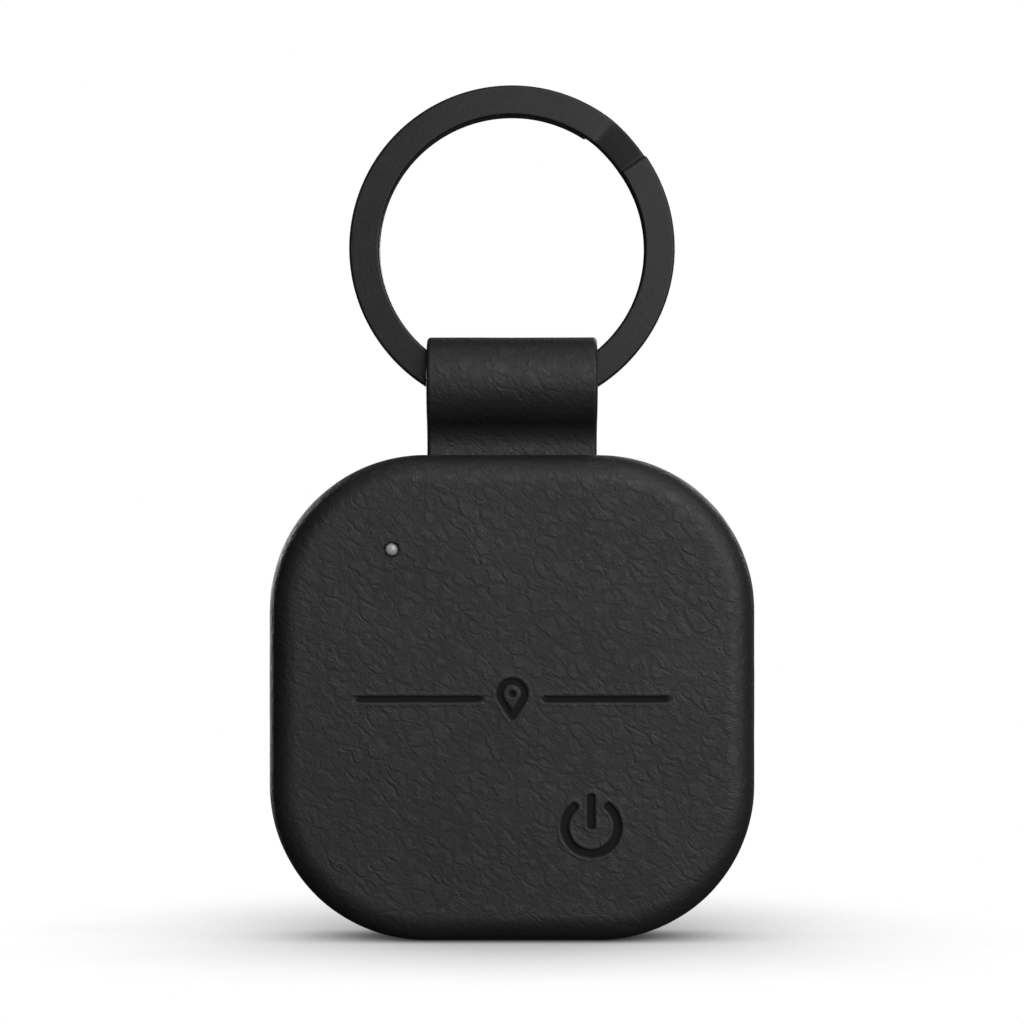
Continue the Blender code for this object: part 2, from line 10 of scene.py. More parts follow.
import bmesh
import bpy
import numpy as np
from bpy.props import FloatProperty, FloatVectorProperty, IntProperty, PointerProperty
from bpy.types import Operator, Panel, PropertyGroup
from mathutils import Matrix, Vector


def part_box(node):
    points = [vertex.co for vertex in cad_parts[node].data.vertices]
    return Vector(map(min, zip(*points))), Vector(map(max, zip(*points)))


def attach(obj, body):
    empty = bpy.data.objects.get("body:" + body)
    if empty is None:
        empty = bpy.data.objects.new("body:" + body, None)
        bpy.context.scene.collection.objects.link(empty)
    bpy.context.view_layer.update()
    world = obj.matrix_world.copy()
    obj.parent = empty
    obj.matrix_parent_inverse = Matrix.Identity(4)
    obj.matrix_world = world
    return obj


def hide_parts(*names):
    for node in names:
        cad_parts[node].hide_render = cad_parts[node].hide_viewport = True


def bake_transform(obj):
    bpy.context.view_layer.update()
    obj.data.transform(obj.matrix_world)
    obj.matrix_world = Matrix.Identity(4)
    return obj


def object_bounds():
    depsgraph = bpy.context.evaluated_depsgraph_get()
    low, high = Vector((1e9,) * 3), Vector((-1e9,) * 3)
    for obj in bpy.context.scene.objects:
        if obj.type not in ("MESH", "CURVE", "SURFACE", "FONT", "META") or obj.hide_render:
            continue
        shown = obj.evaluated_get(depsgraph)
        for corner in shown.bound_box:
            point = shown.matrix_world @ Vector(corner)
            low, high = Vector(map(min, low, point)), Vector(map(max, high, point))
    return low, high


bl_info = {
    "name": "Bluetooth Tracker Tag",
    "version": (1, 0, 0),
    "blender": (4, 5, 0),
    "location": "3D View > Sidebar > Tracker Tag",
    "description": "Builds a leather-covered tracker tag on a split ring, and a studio for it",
    "category": "Add Mesh",
}

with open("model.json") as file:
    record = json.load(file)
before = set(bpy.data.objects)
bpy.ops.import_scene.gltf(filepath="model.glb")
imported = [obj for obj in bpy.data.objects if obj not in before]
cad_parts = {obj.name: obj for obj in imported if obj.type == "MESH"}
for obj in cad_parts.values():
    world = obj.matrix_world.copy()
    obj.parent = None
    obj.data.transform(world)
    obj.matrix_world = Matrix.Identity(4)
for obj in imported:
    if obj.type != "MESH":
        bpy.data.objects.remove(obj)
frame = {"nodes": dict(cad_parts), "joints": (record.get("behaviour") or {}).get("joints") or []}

MM = 0.001
NODES = frame["nodes"]
JOINTS = {joint["name"]: joint for joint in frame["joints"]}
CAD_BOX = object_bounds()
LOOP_AXIS = np.array(JOINTS["loop_swing"]["pos_m"])
BEND_AXIS = np.array(JOINTS["strap_bend"]["pos_m"])


def corners(node):
    """Lowest and highest corner of a frame node, as arrays."""
    low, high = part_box(node)
    return np.array(low), np.array(high)


def middle_of(node):
    low, high = corners(node)
    return (low + high) / 2


REAR_LOW, REAR_HIGH = corners("rear_leather")
CASE_HALF = (REAR_HIGH[0] - REAR_LOW[0]) / 2
CASE_MIDDLE = (REAR_LOW[2] + REAR_HIGH[2]) / 2
CASE_FACE = REAR_HIGH[1]
SEAM_HALF = REAR_LOW[1]
LENS_PLACE = middle_of("led_lens")
BUTTON_PLACE = middle_of("button_pad")
FLOOR_LEVEL = CAD_BOX[0][2]


# ---------------------------------------------------------------- settings


def length(name, description, default):
    """A length property, default in millimetres."""
    return FloatProperty(
        name=name, description=description, default=default * MM, unit="LENGTH", precision=5
    )


def angular(name, description, default):
    """An angle property, default in degrees."""
    return FloatProperty(
        name=name, description=description, default=radians(default), subtype="ANGLE"
    )


def watts(name, description, default):
    """A light's power."""
    return FloatProperty(name=name, description=description, default=default, unit="POWER")


def factor(name, description, default):
    """A plain number."""
    return FloatProperty(name=name, description=description, default=default)


def colour(name, description, default):
    return FloatVectorProperty(
        name=name, description=description, default=default, subtype="COLOR", size=3, min=0, max=1
    )


class CaseSettings(PropertyGroup):
    corner: length("Corner", "Radius of the case's corners seen from the front", 13.3)
    edge: length("Edge", "Radius that rolls the face over to the side", 2.4)
    leather: length("Leather", "Thickness of the leather cover", 0.7)
    rim: length("Rim", "Radius that turns the leather in at the seam", 0.2)
    slot_half: length("Slot half", "Half the thickness of the slot for the strap", 0.95)
    slot_width: length("Slot width", "Half the width of the slot for the strap", 7.45)
    hole: length("Light hole", "Radius of the hole for the light", 0.65)
    dome: length("Dome", "Height of the light pipe's dome", 0.35)
    swell: length("Swell", "Height of the slow unevenness in the leather", 0.02)
    lines: IntProperty(name="Lines", description="Mesh lines across the front cover", default=262)
    rear_lines: IntProperty(
        name="Rear lines", description="Mesh lines across the rear cover", default=170
    )


class MarkSettings(PropertyGroup):
    depth: length("Depth", "Depth of the signs pressed into the leather", 0.22)
    wall: length("Wall", "Width of the slope from the leather down to a sign's floor", 0.13)
    lip: length("Lip", "Height that the leather rises beside a pressed sign", 0.02)
    power_radius: length("Power radius", "Middle radius of the power sign's open ring", 2.25)
    power_stroke: length("Power stroke", "Width of the power sign's lines", 0.66)
    power_top: length("Power top", "Upper end of the power sign's bar above its centre", 2.49)
    power_bottom: length("Power bottom", "Lower end of the power sign's bar above its centre", 0.16)
    power_gap: angular("Power gap", "Half the opening of the ring", 40)
    pin_head: length("Pin head", "Radius of the place pin's head", 1.05)
    pin_height: length("Pin height", "From the centre of the pin's head down to its point", 1.95)
    line_stroke: length("Line stroke", "Width of the emblem's lines", 0.52)
    line_start: length("Line start", "Where the flanking lines begin, from the middle", 2.9)
    line_end: length("Line end", "Where the flanking lines end, from the middle", 13.0)


class StrapSettings(PropertyGroup):
    width: length("Width", "Width of the strap", 14.6)
    layer: length("Layer", "Thickness of one layer of leather", 0.75)
    bore: length("Bore", "Inside radius of the loop round the key ring", 3.0)
    hollow: length("Hollow", "Outside radius of the hollow below the loop", 2.6)
    slit: length("Slit", "Gap between the two layers below the loop", 0.1)
    edge: length("Edge", "Radius of the waxed edges", 0.33)
    swell: length("Swell", "Height of the slow unevenness in the leather", 0.02)
    flare: angular("Flare", "How far below the level the loop turns", 54)
    droop: factor(
        "Droop", "How many times deeper the loop is below its axis than above", 1.15
    )


class RingSettings(PropertyGroup):
    outer: length("Outer radius", "Outer radius of the key ring", 14.0)
    wire: length("Wire width", "Width of the flat wire", 2.6)
    thickness: length("Thickness", "Thickness of both turns together", 2.0)
    gap: length("Gap", "Gap between the two turns", 0.04)
    edge: length("Edge", "Radius of the wire's edges", 0.2)
    free_end: angular("Free end", "Angle of the front turn's end", 35)
    jog_end: angular("Jog end", "Angle where the wire reaches the rear", 35.6)
    jog_start: angular("Jog start", "Angle where the wire leaves the front", 53.5)
    rear_end: angular("Rear end", "Angle of the rear turn's end", 56.6)


class FinishSettings(PropertyGroup):
    leather: colour("Leather", "Colour of the leather's grain side", (0.008, 0.008, 0.0081))
    leather_high: colour(
        "Leather highs", "Colour of the leather's raised grain", (0.0105, 0.0105, 0.0107)
    )
    suede: colour("Suede", "Colour of the leather's flesh side", (0.03, 0.028, 0.026))
    ring: colour("Ring", "Colour of the ring's black coating", (0.008, 0.008, 0.0083))
    lens: colour("Lens", "Colour of the unlit light pipe", (0.42, 0.42, 0.425))
    board: colour("Board", "Colour of the solder mask", (0.01, 0.09, 0.04))
    leather_rough: factor("Leather roughness", "Roughness of the pebbles", 0.47)
    ring_rough: factor("Ring roughness", "Roughness of the coating", 0.3)
    cell: length("Grain cell", "Size of the leather's pebbles", 1.2)
    grain_depth: length("Grain depth", "Depth of the leather's creases", 0.037)


class StudioSettings(PropertyGroup):
    distance: length("Camera distance", "From the camera to the middle of the tag", 225)
    frame_width: length("Frame width", "Width that the camera sees at that distance", 88.34)
    drop: length("Camera drop", "Camera level below the ring's top", 34.08)
    key: watts("Key", "Power of the main soft light", 8.1)
    top: watts("Top", "Power of the overhead light", 0.36)
    rim: watts("Rim", "Power of the light behind the left edge", 1.0)
    back: watts("Back", "Power of the light for the rear", 2.4)
    side: watts("Side", "Power of the light behind the right side", 0.16)
    ambient: factor("Ambient", "Strength of the even light from all round", 0.015)
    shadow: length("Shadow", "How far the soft shadow on the floor reaches", 27)


# ---------------------------------------------------------------- surfaces


def grid_faces(rows, cols, wrap=False):
    """Quads between neighbouring rows of points, each row closed on itself if wrap."""
    index = np.arange(rows * cols).reshape(rows, cols)
    across = np.roll(index, -1, axis=1) if wrap else index[:, 1:]
    start = index if wrap else index[:, :-1]
    return np.stack([start[:-1], across[:-1], across[1:], start[1:]], axis=-1).reshape(-1, 4)


def add_piece(name, points, faces, caps=(), flat_close=False):
    """A smooth closed mesh at the origin from arrays of points and quads.

    Caps are lists of point numbers, each one more face.
    With flat_close, its open edges lie in one plane and are closed by triangles.
    """
    mesh = bpy.data.meshes.new(name)
    mesh.from_pydata(points.tolist(), [], faces.tolist() + [list(cap) for cap in caps])
    if flat_close:
        close_by_triangles(mesh)
    bm = bmesh.new()
    bm.from_mesh(mesh)
    bmesh.ops.recalc_face_normals(bm, faces=bm.faces)
    bm.to_mesh(mesh)
    bm.free()
    mesh.shade_smooth()
    mesh.set_sharp_from_angle(angle=radians(50))
    piece = bpy.data.objects.new(name, mesh)
    bpy.context.scene.collection.objects.link(piece)
    return piece


def store(piece, name, values):
    """Keeps one number or one vector per point on the mesh, for its material."""
    kind, field = ("FLOAT_VECTOR", "vector") if values.ndim == 2 else ("FLOAT", "value")
    layer = piece.data.attributes.new(name, kind, "POINT")
    layer.data.foreach_set(field, values.astype(np.float32).ravel())


def smoothstep(low, high, value):
    """0 below low, 1 above high, and an S-shaped cubic between them."""
    share = np.clip((value - low) / (high - low), 0, 1)
    return share * share * (3 - 2 * share)


def uneven(points, cell, seed):
    """Slow noise from -1 to 1: random values on a lattice of cells, blended by smooth cubics."""
    size = 32
    table = np.random.default_rng(seed).uniform(-1, 1, (size, size, size))
    place = points / cell
    base = np.floor(place).astype(int)
    share = place - base
    share = share * share * (3 - 2 * share)
    total = np.zeros(len(points))
    for corner in np.ndindex(2, 2, 2):
        weight = np.prod(np.where(corner, share, 1 - share), axis=1)
        at = (base + corner) % size
        total += weight * table[at[:, 0], at[:, 1], at[:, 2]]
    return total


def turned(name, profile, place, sides):
    """A profile of (radius, depth) turned about the line along Y through place, ends capped."""
    profile = np.asarray(profile)
    angle = np.linspace(0, 2 * pi, sides, endpoint=False)
    radius, depth = profile[:, :1], profile[:, 1:]
    points = np.stack(
        [
            place[0] + radius * np.cos(angle),
            depth + 0 * angle,
            place[2] + radius * np.sin(angle),
        ],
        axis=-1,
    )
    rows = len(profile)
    last = (rows - 1) * sides
    caps = [range(sides), range(last, last + sides)]
    return add_piece(name, points.reshape(-1, 3), grid_faces(rows, sides, wrap=True), caps)


# ---------------------------------------------------------------- pressed signs


def arc_distance(x, z, radius, gap):
    """Distance to an open ring: from its circle, or from its nearer end in the gap at the top."""
    lean = np.arctan2(x, z)
    ends = np.hypot(np.abs(x) - radius * np.sin(gap), z - radius * np.cos(gap))
    return np.where(np.abs(lean) < gap, ends, np.abs(np.hypot(x, z) - radius))


def bar_distance(x, z, start, end):
    """Distance to the straight line from start to end."""
    run = np.subtract(end, start)
    share = np.clip(((x - start[0]) * run[0] + (z - start[1]) * run[1]) / (run @ run), 0, 1)
    return np.hypot(x - start[0] - share * run[0], z - start[1] - share * run[1])


def pin_distance(x, z, head, height):
    """Distance to a place pin's outline: a circle, and its two tangents down to a point."""
    x = np.abs(x)
    lean = np.arccos(head / height)
    touch = (head * np.sin(lean), -head * np.cos(lean))
    tail = bar_distance(x, z, touch, (0.0, -height))
    round_part = np.abs(np.hypot(x, z) - head)
    below = np.arctan2(x, -z) < lean
    return np.where(below, np.minimum(tail, np.hypot(x - touch[0], z - touch[1])), round_part)


def sign_distance(x, z, marks):
    """Distance outside the nearest pressed sign, negative inside its line.

    x and z are counted from the case's centre.
    """
    bx, bz = x - BUTTON_PLACE[0], z - (BUTTON_PLACE[2] - CASE_MIDDLE)
    power = np.minimum(
        arc_distance(bx, bz, marks.power_radius, marks.power_gap),
        bar_distance(bx, bz, (0.0, marks.power_bottom), (0.0, marks.power_top)),
    )
    rise = (marks.pin_height - marks.pin_head) / 2
    pin = np.minimum(
        pin_distance(x, z - rise, marks.pin_head, marks.pin_height),
        np.hypot(x, z - rise),
    )
    flank = bar_distance(np.abs(x), z, (marks.line_start, 0.0), (marks.line_end, 0.0))
    emblem = np.minimum(pin, flank)
    return np.minimum(power - marks.power_stroke / 2, emblem - marks.line_stroke / 2)


# ---------------------------------------------------------------- leather covers


def crowded_lines(count, half, places):
    """Positions from -half to half, with a higher density round each (place, spread, gain)."""
    ruler = np.linspace(-half, half, 4001)
    density = np.ones_like(ruler)
    for place, spread, gain in places:
        density += gain * np.exp(-(((ruler - place) / spread) ** 4))
    total = np.concatenate(([0], np.cumsum((density[1:] + density[:-1]) / 2)))
    return np.interp(np.linspace(0, total[-1], count), total, ruler)


def rounded_outline(across, half, radius):
    """Points on the edge of a unit square, moved by arc length on to a square with round corners.

    Each side's middle stays straight, and the rest goes round a quarter arc. Returns the points
    and the outward directions.
    """
    size = np.abs(across)
    straight = half - radius
    run = size.min(axis=1) * (straight + radius * pi / 4)
    turn = np.clip((run - straight) / radius, 0, pi / 4)
    large = straight + radius * np.cos(turn)
    small = np.where(run < straight, run, straight + radius * np.sin(turn))
    wide = (size[:, 0] >= size[:, 1])[:, None]
    sign = np.where(across < 0, -1, 1)
    place = np.where(wide, np.stack([large, small], 1), np.stack([small, large], 1))
    facing = np.stack([np.cos(turn), np.sin(turn)], 1)
    return place * sign, np.where(wide, facing, facing[:, ::-1]) * sign


def face_grid(lines_x, lines_z, half, radius):
    """A square grid whose outer part is eased out into a square with round corners."""
    x, z = np.meshgrid(lines_x, lines_z, indexing="ij")
    flat = np.stack([x.ravel(), z.ravel()], 1)
    share = np.maximum(np.abs(flat).max(axis=1), 1e-9) / half
    across = flat / (share * half)[:, None]
    outline, _ = rounded_outline(across, half, radius)
    ease = smoothstep(0.6, 1.0, share)[:, None]
    return share[:, None] * ((1 - ease) * across * half + ease * outline)


def ring_round_hole(points, count, centre, radius, rings):
    """Moves the grid's square rings round centre on to circles, fading out over some rings.

    Returns each point's ring number, and the number of the ring that lies on the hole's edge.
    """
    nearest = np.argmin(np.hypot(*(points - centre).T))
    column, row = divmod(nearest, count)
    i, j = np.divmod(np.arange(len(points)), count)
    di, dj = i - column, j - row
    ring = np.maximum(np.abs(di), np.abs(dj))
    near = points[(ring == rings) & ((di == 0) | (dj == 0))] - centre
    step = np.hypot(*near.T).mean() / rings
    edge = max(3, int(round(radius / step)))
    along = np.where(ring > 0, np.minimum(np.abs(di), np.abs(dj)) / np.maximum(ring, 1), 0) * pi / 4
    wide = np.abs(di) >= np.abs(dj)
    facing = np.stack(
        [
            np.where(wide, np.cos(along), np.sin(along)) * np.sign(di + (di == 0)),
            np.where(wide, np.sin(along), np.cos(along)) * np.sign(dj + (dj == 0)),
        ],
        1,
    )
    circle = centre + facing * (radius + (ring - edge) * step)[:, None]
    hold = (1 - smoothstep(edge + 2, edge + rings, ring))[:, None]
    return points * (1 - hold) + circle * hold, ring, edge


def perimeter(count):
    """Numbers of the outermost points of a square grid, in order round it."""
    side = np.arange(count - 1)
    last = count - 1
    return np.concatenate(
        [side * count, last * count + side, (last - side) * count + last, last - side]
    )


def close_by_triangles(mesh):
    """Closes a mesh whose open edges lie in one plane across Y, with triangles between them."""
    bm = bmesh.new()
    bm.from_mesh(mesh)
    rims = [edge for edge in bm.edges if edge.is_boundary]
    bmesh.ops.triangle_fill(bm, use_beauty=True, edges=rims, normal=(0, 1, 0))
    bm.to_mesh(mesh)
    bm.free()


def cover_profile(case, rim_depth):
    """The cover's side as (offset, depth, tilt) from the face's edge to the inside floor.

    A quarter circle rolls over the edge, a straight side runs to the rim, a small quarter circle
    turns in, and the same way leads back one leather's thickness inside. Tilt is how far the
    outside faces sideways, and None on the inside.
    """
    edge, rim, inner = case.edge, case.rim, case.edge - case.leather
    edge_steps, rim_steps = 10, 3
    level = np.zeros_like(rim_depth)
    rows = []
    for a in np.linspace(0, pi / 2, edge_steps + 1)[1:]:
        rows.append((edge * np.sin(a), level + edge * (1 - np.cos(a)), np.sin(a)))
    rows += [(edge, edge + share * (rim_depth - rim - edge), 1.0) for share in (0.5, 1.0)]
    for a in np.linspace(0, pi / 2, rim_steps + 1)[1:]:
        rows.append((edge - rim * (1 - np.cos(a)), rim_depth - rim * (1 - np.sin(a)), None))
    rows += [(inner, rim_depth, None), (inner, level + edge, None)]
    for a in np.linspace(pi / 2, 0, rim_steps + 1)[1:]:
        rows.append((inner * np.sin(a), level + edge - inner * np.cos(a), None))
    return rows


def leather_cover(name, side, count, crowded_x, crowded_z, marks=None):
    """One leather cover as a closed skin.

    The face is a square grid eased into the rounded outline. Its outermost ring of points is
    carried round the profile of the side, and a flat sheet closes the inside. With marks, signs
    are pressed into the face and a round hole is left for the light.
    """
    case = bpy.context.scene.tracker_case
    slot_ease, hole_round, hole_depth, hole_rings = 0.3 * MM, 0.06 * MM, 0.07 * MM, 16
    broad_swell, fine_swell, fine_share = 4.5 * MM, 1.6 * MM, 0.45
    half, radius = CASE_HALF - case.edge, case.corner - case.edge
    lines_x, lines_z = crowded_lines(count, half, crowded_x), crowded_lines(count, half, crowded_z)
    plane = face_grid(lines_x, lines_z, half, radius)
    rim = perimeter(count)
    square = np.stack(np.meshgrid(lines_x, lines_z, indexing="ij"), -1).reshape(-1, 2)[rim]
    outline, facing = rounded_outline(square / half, half, radius)
    in_slot = 1 - smoothstep(case.slot_width, case.slot_width + slot_ease, np.abs(outline[:, 0]))
    in_slot *= outline[:, 1] > 0
    rim_depth = CASE_FACE - SEAM_HALF - in_slot * (case.slot_half - SEAM_HALF)

    def at_depth(flat, depth):
        return np.stack([flat[:, 0], side * (CASE_FACE - depth), CASE_MIDDLE + flat[:, 1]], 1)

    def swell(points):
        fine = fine_share * uneven(points, fine_swell, 4)
        return case.swell * (uneven(points, broad_swell, 3) + fine)

    faces = grid_faces(count, count)
    depth = pressed = np.zeros(len(plane))
    if marks:
        hole = LENS_PLACE[[0, 2]] - (0, CASE_MIDDLE)
        mouth = case.hole + hole_round
        plane, ring, hole_ring = ring_round_hole(plane, count, hole, mouth, hole_rings)
        faces = faces[ring[faces].min(axis=1) >= hole_ring]
        gap = sign_distance(plane[:, 0], plane[:, 1], marks)
        pressed = 1 - smoothstep(-0.55 * marks.wall, 0.45 * marks.wall, gap)
        lip = marks.lip * np.exp(-(((gap - 1.5 * marks.wall) / marks.wall) ** 2))
        depth = pressed * marks.depth - lip
    face = at_depth(plane, depth)
    face[:, 1] += side * swell(at_depth(plane, np.zeros(len(plane))))
    blocks, parts = [face], [faces]
    profile = cover_profile(case, rim_depth)
    for offset, down, tilt in profile:
        block = at_depth(outline + facing * offset, down)
        if tilt is not None:
            outward = np.insert(facing * tilt, 1, side * np.sqrt(1 - tilt**2), axis=1)
            fade = 1 - smoothstep(0.6, 1.0, down / rim_depth)
            block += outward * (swell(block) * fade)[:, None]
        blocks.append(block)
    around, total = len(rim), len(face)
    numbers = np.concatenate([rim, total + np.arange(len(profile) * around)])
    parts.append(numbers[grid_faces(len(profile) + 1, around, wrap=True)])
    if marks:
        lip_numbers = np.flatnonzero(ring == hole_ring)
        way = plane[lip_numbers] - hole
        order = np.argsort(np.arctan2(way[:, 0], way[:, 1]))
        lip_numbers, way = lip_numbers[order], way[order]
        way /= np.hypot(way[:, 0], way[:, 1])[:, None]
        wall = [hole_depth, 0.5 * case.leather, case.leather]
        blocks += [at_depth(hole + way * case.hole, np.full(len(way), down)) for down in wall]
        first = total + len(profile) * around
        numbers = np.concatenate([lip_numbers, first + np.arange(len(wall) * len(way))])
        parts.append(numbers[grid_faces(len(wall) + 1, len(way), wrap=True)])
    points, faces = np.concatenate(blocks), np.concatenate(parts)
    mask = np.zeros(len(points))
    mask[: len(pressed)] = pressed
    used = np.zeros(len(points), bool)
    used[faces] = True
    points, mask, faces = points[used], mask[used], (np.cumsum(used) - 1)[faces]
    piece = add_piece(name, points, faces, flat_close=True)
    store(piece, "grain_place", points)
    store(piece, "pressed", mask)
    return piece


# ---------------------------------------------------------------- swept pieces


def rounded_section(width, thickness, radius, steps, across):
    """A rounded rectangle's outline as (u, v) points.

    Each corner is a quarter circle. The points on the two long sides lie closer at the sides' ends.
    """
    a, b = width / 2 - radius, thickness / 2 - radius
    turn = np.linspace(0, pi / 2, steps + 1)
    points = []
    for number, (x, y) in enumerate(((a, b), (-a, b), (-a, -b), (a, -b))):
        angle = turn + number * pi / 2
        points.append(np.stack([x + radius * np.cos(angle), y + radius * np.sin(angle)], 1))
        if number % 2 == 0:
            share = (1 - np.cos(np.linspace(0, pi, across + 1)[1:-1, None])) / 2
            other = -x
            end = np.array([other, y + radius * (1 if number == 0 else -1)])
            points.append(points[-1][-1] * (1 - share) + end * share)
    return np.concatenate(points)


def offsets(section, across, upward):
    """Rows of points round a path: each is u times across plus v times upward."""
    return section[None, :, :1] * across[:, None] + section[None, :, 1:] * upward[:, None]


def swept_piece(name, points):
    """A closed piece from rows of points, each row one section, capped at both ends."""
    rows, cols = points.shape[:2]
    caps = [range(cols), range((rows - 1) * cols, rows * cols)]
    return add_piece(name, points.reshape(-1, 3), grid_faces(rows, cols, wrap=True), caps)


def strap_path(strap):
    """Half of the strap's way seen from the side, from its tail to its top.

    It is y and z from the loop's axis: straight up, a hollow arc that flares out, a short
    straight, part of an ellipse out to the loop's widest place, and a quarter circle over the top.
    """
    half_layer = strap.layer / 2
    stem = half_layer + strap.slit / 2
    flare, crown, hollow = strap.flare, strap.bore + half_layer, strap.hollow + half_layer
    low = crown * strap.droop
    leave = np.arctan(strap.droop * np.tan(flare))
    straight = (crown * np.cos(leave) - stem - hollow * (1 - np.cos(flare))) / np.sin(flare)
    join_z = -low * np.sin(leave) - straight * np.cos(flare) - hollow * np.sin(flare)
    tail = corners("strap_tail")[0][2] - LOOP_AXIS[2]
    step = 0.16 * MM
    rise = np.arange(tail, join_z, step)
    bend = np.linspace(0, flare, int(hollow * flare / step))
    over = np.linspace(-leave, pi / 2, int(crown * (leave + pi / 2) / step))
    bend_y, bend_z = stem + hollow * (1 - np.cos(bend)), join_z + hollow * np.sin(bend)
    over_y, over_z = crown * np.cos(over), np.where(over < 0, low, crown) * np.sin(over)
    y = np.concatenate([np.full(len(rise), stem), bend_y, over_y])
    return y, np.concatenate([rise, bend_z, over_z])


def build_strap(strap):
    """The strap as one strip of leather, up the front, over the ring and down the rear.

    A rounded rectangle is carried along the strap's way; the rear half mirrors the front. Its
    upper side swells slowly along the strip.
    """
    half_width, half_layer = strap.width / 2, strap.layer / 2
    y, z = strap_path(strap)
    y, z = np.concatenate([-y, y[-2::-1]]), np.concatenate([z, z[-2::-1]])
    out_y, out_z = -np.gradient(z), np.gradient(y)
    size = np.hypot(out_y, out_z)
    zero = np.zeros(len(y))
    centres = np.stack([zero, y, LOOP_AXIS[2] + z], 1)
    upward = np.stack([zero, out_y / size, out_z / size], 1)
    across = np.tile([1.0, 0.0, 0.0], (len(y), 1))
    section = rounded_section(strap.width, strap.layer, strap.edge, 5, 64)
    run = np.concatenate([[0], np.cumsum(np.hypot(np.diff(y), np.diff(z)))])
    u, v = np.tile(section[:, 0], len(y)), np.tile(section[:, 1], len(y))
    place = np.stack([u, v, np.repeat(run, len(section))], 1)
    lift = strap.swell * uneven(place, 4.0 * MM, 5) * smoothstep(0, half_layer, v)
    points = centres[:, None] + offsets(section, across, upward)
    points += upward[:, None] * lift.reshape(len(y), -1, 1)
    piece = swept_piece("strap_leather", points)
    store(piece, "grain_place", place)
    store(piece, "flesh", smoothstep(0.3 * half_layer, 0.9 * half_layer, -v))
    cut = smoothstep(half_width - strap.edge, half_width - 0.3 * strap.edge, np.abs(u))
    store(piece, "cut_edge", cut)
    return piece


def build_ring(ring):
    """The split ring: a flat wire carried round two turns.

    Seen from the front it runs clockwise. The first turn lies in front and the second behind.
    Over the jog between them the wire's slope grows evenly during the share start, then falls
    evenly to last_slope of its steepest. Both ends are slightly tapered.
    """
    middle = np.array([0.0, 0.0, CAD_BOX[1][2] - ring.outer])
    level = (ring.thickness + ring.gap) / 4
    last = ring.rear_end - 4 * pi
    jog_from, jog_to = ring.jog_start - 2 * pi, ring.jog_end - 2 * pi
    angle = np.arange(ring.free_end, last, -radians(1.0))
    soft = ring.edge / ring.outer
    angle = np.sort(np.concatenate([angle, [ring.free_end - soft, last + soft, last]]))[::-1]
    share = np.clip((jog_from - angle) / (jog_from - jog_to), 0, 1)
    start, last_slope = 0.16, 0.7
    after = share - start
    fall = np.where(
        share < start,
        share**2 / (2 * start),
        start / 2 + after - (1 - last_slope) * after**2 / (2 * (1 - start)),
    ) / (start / 2 + (1 - start) * (1 + last_slope) / 2)
    facing = np.stack([np.cos(angle), 0 * angle, np.sin(angle)], 1)
    centres = middle + facing * (ring.outer - ring.wire / 2)
    centres[:, 1] = level * (2 * fall - 1)
    turn_thickness = (ring.thickness - ring.gap) / 2
    section = rounded_section(ring.wire, turn_thickness, ring.edge, 6, 9)
    upward = np.tile([0.0, 1.0, 0.0], (len(angle), 1))
    taper = np.zeros((len(angle), 1, 1))
    taper[[0, -1]] = ring.edge / turn_thickness
    narrowed = 1 - taper * np.array([0.4, 1.0, 0.4])
    points = centres[:, None] + offsets(section, facing, upward) * narrowed
    piece = swept_piece("split_ring", points)
    run = np.repeat(angle * ring.outer, len(section))
    u, v = np.tile(section[:, 0], len(angle)), np.tile(section[:, 1], len(angle))
    store(piece, "along_wire", np.stack([run, u, v], 1))
    return piece


def build_lens():
    """The light pipe: a shallow round dome, a straight stem and a flange, turned about its axis."""
    low, high = corners("led_lens")
    case = bpy.context.scene.tracker_case
    stem, flange = case.hole - 0.1 * MM, (high[0] - low[0]) / 2
    back, step = high[1], 0.35 * MM
    bend = np.linspace(radians(4), pi / 2, 12)
    dome = [(stem * np.sin(a), low[1] + case.dome * (1 - np.cos(a))) for a in bend]
    foot = [(stem, back - step), (flange, back - step), (flange, back)]
    piece = turned("light_pipe", dome + foot, LENS_PLACE, 48)
    return piece


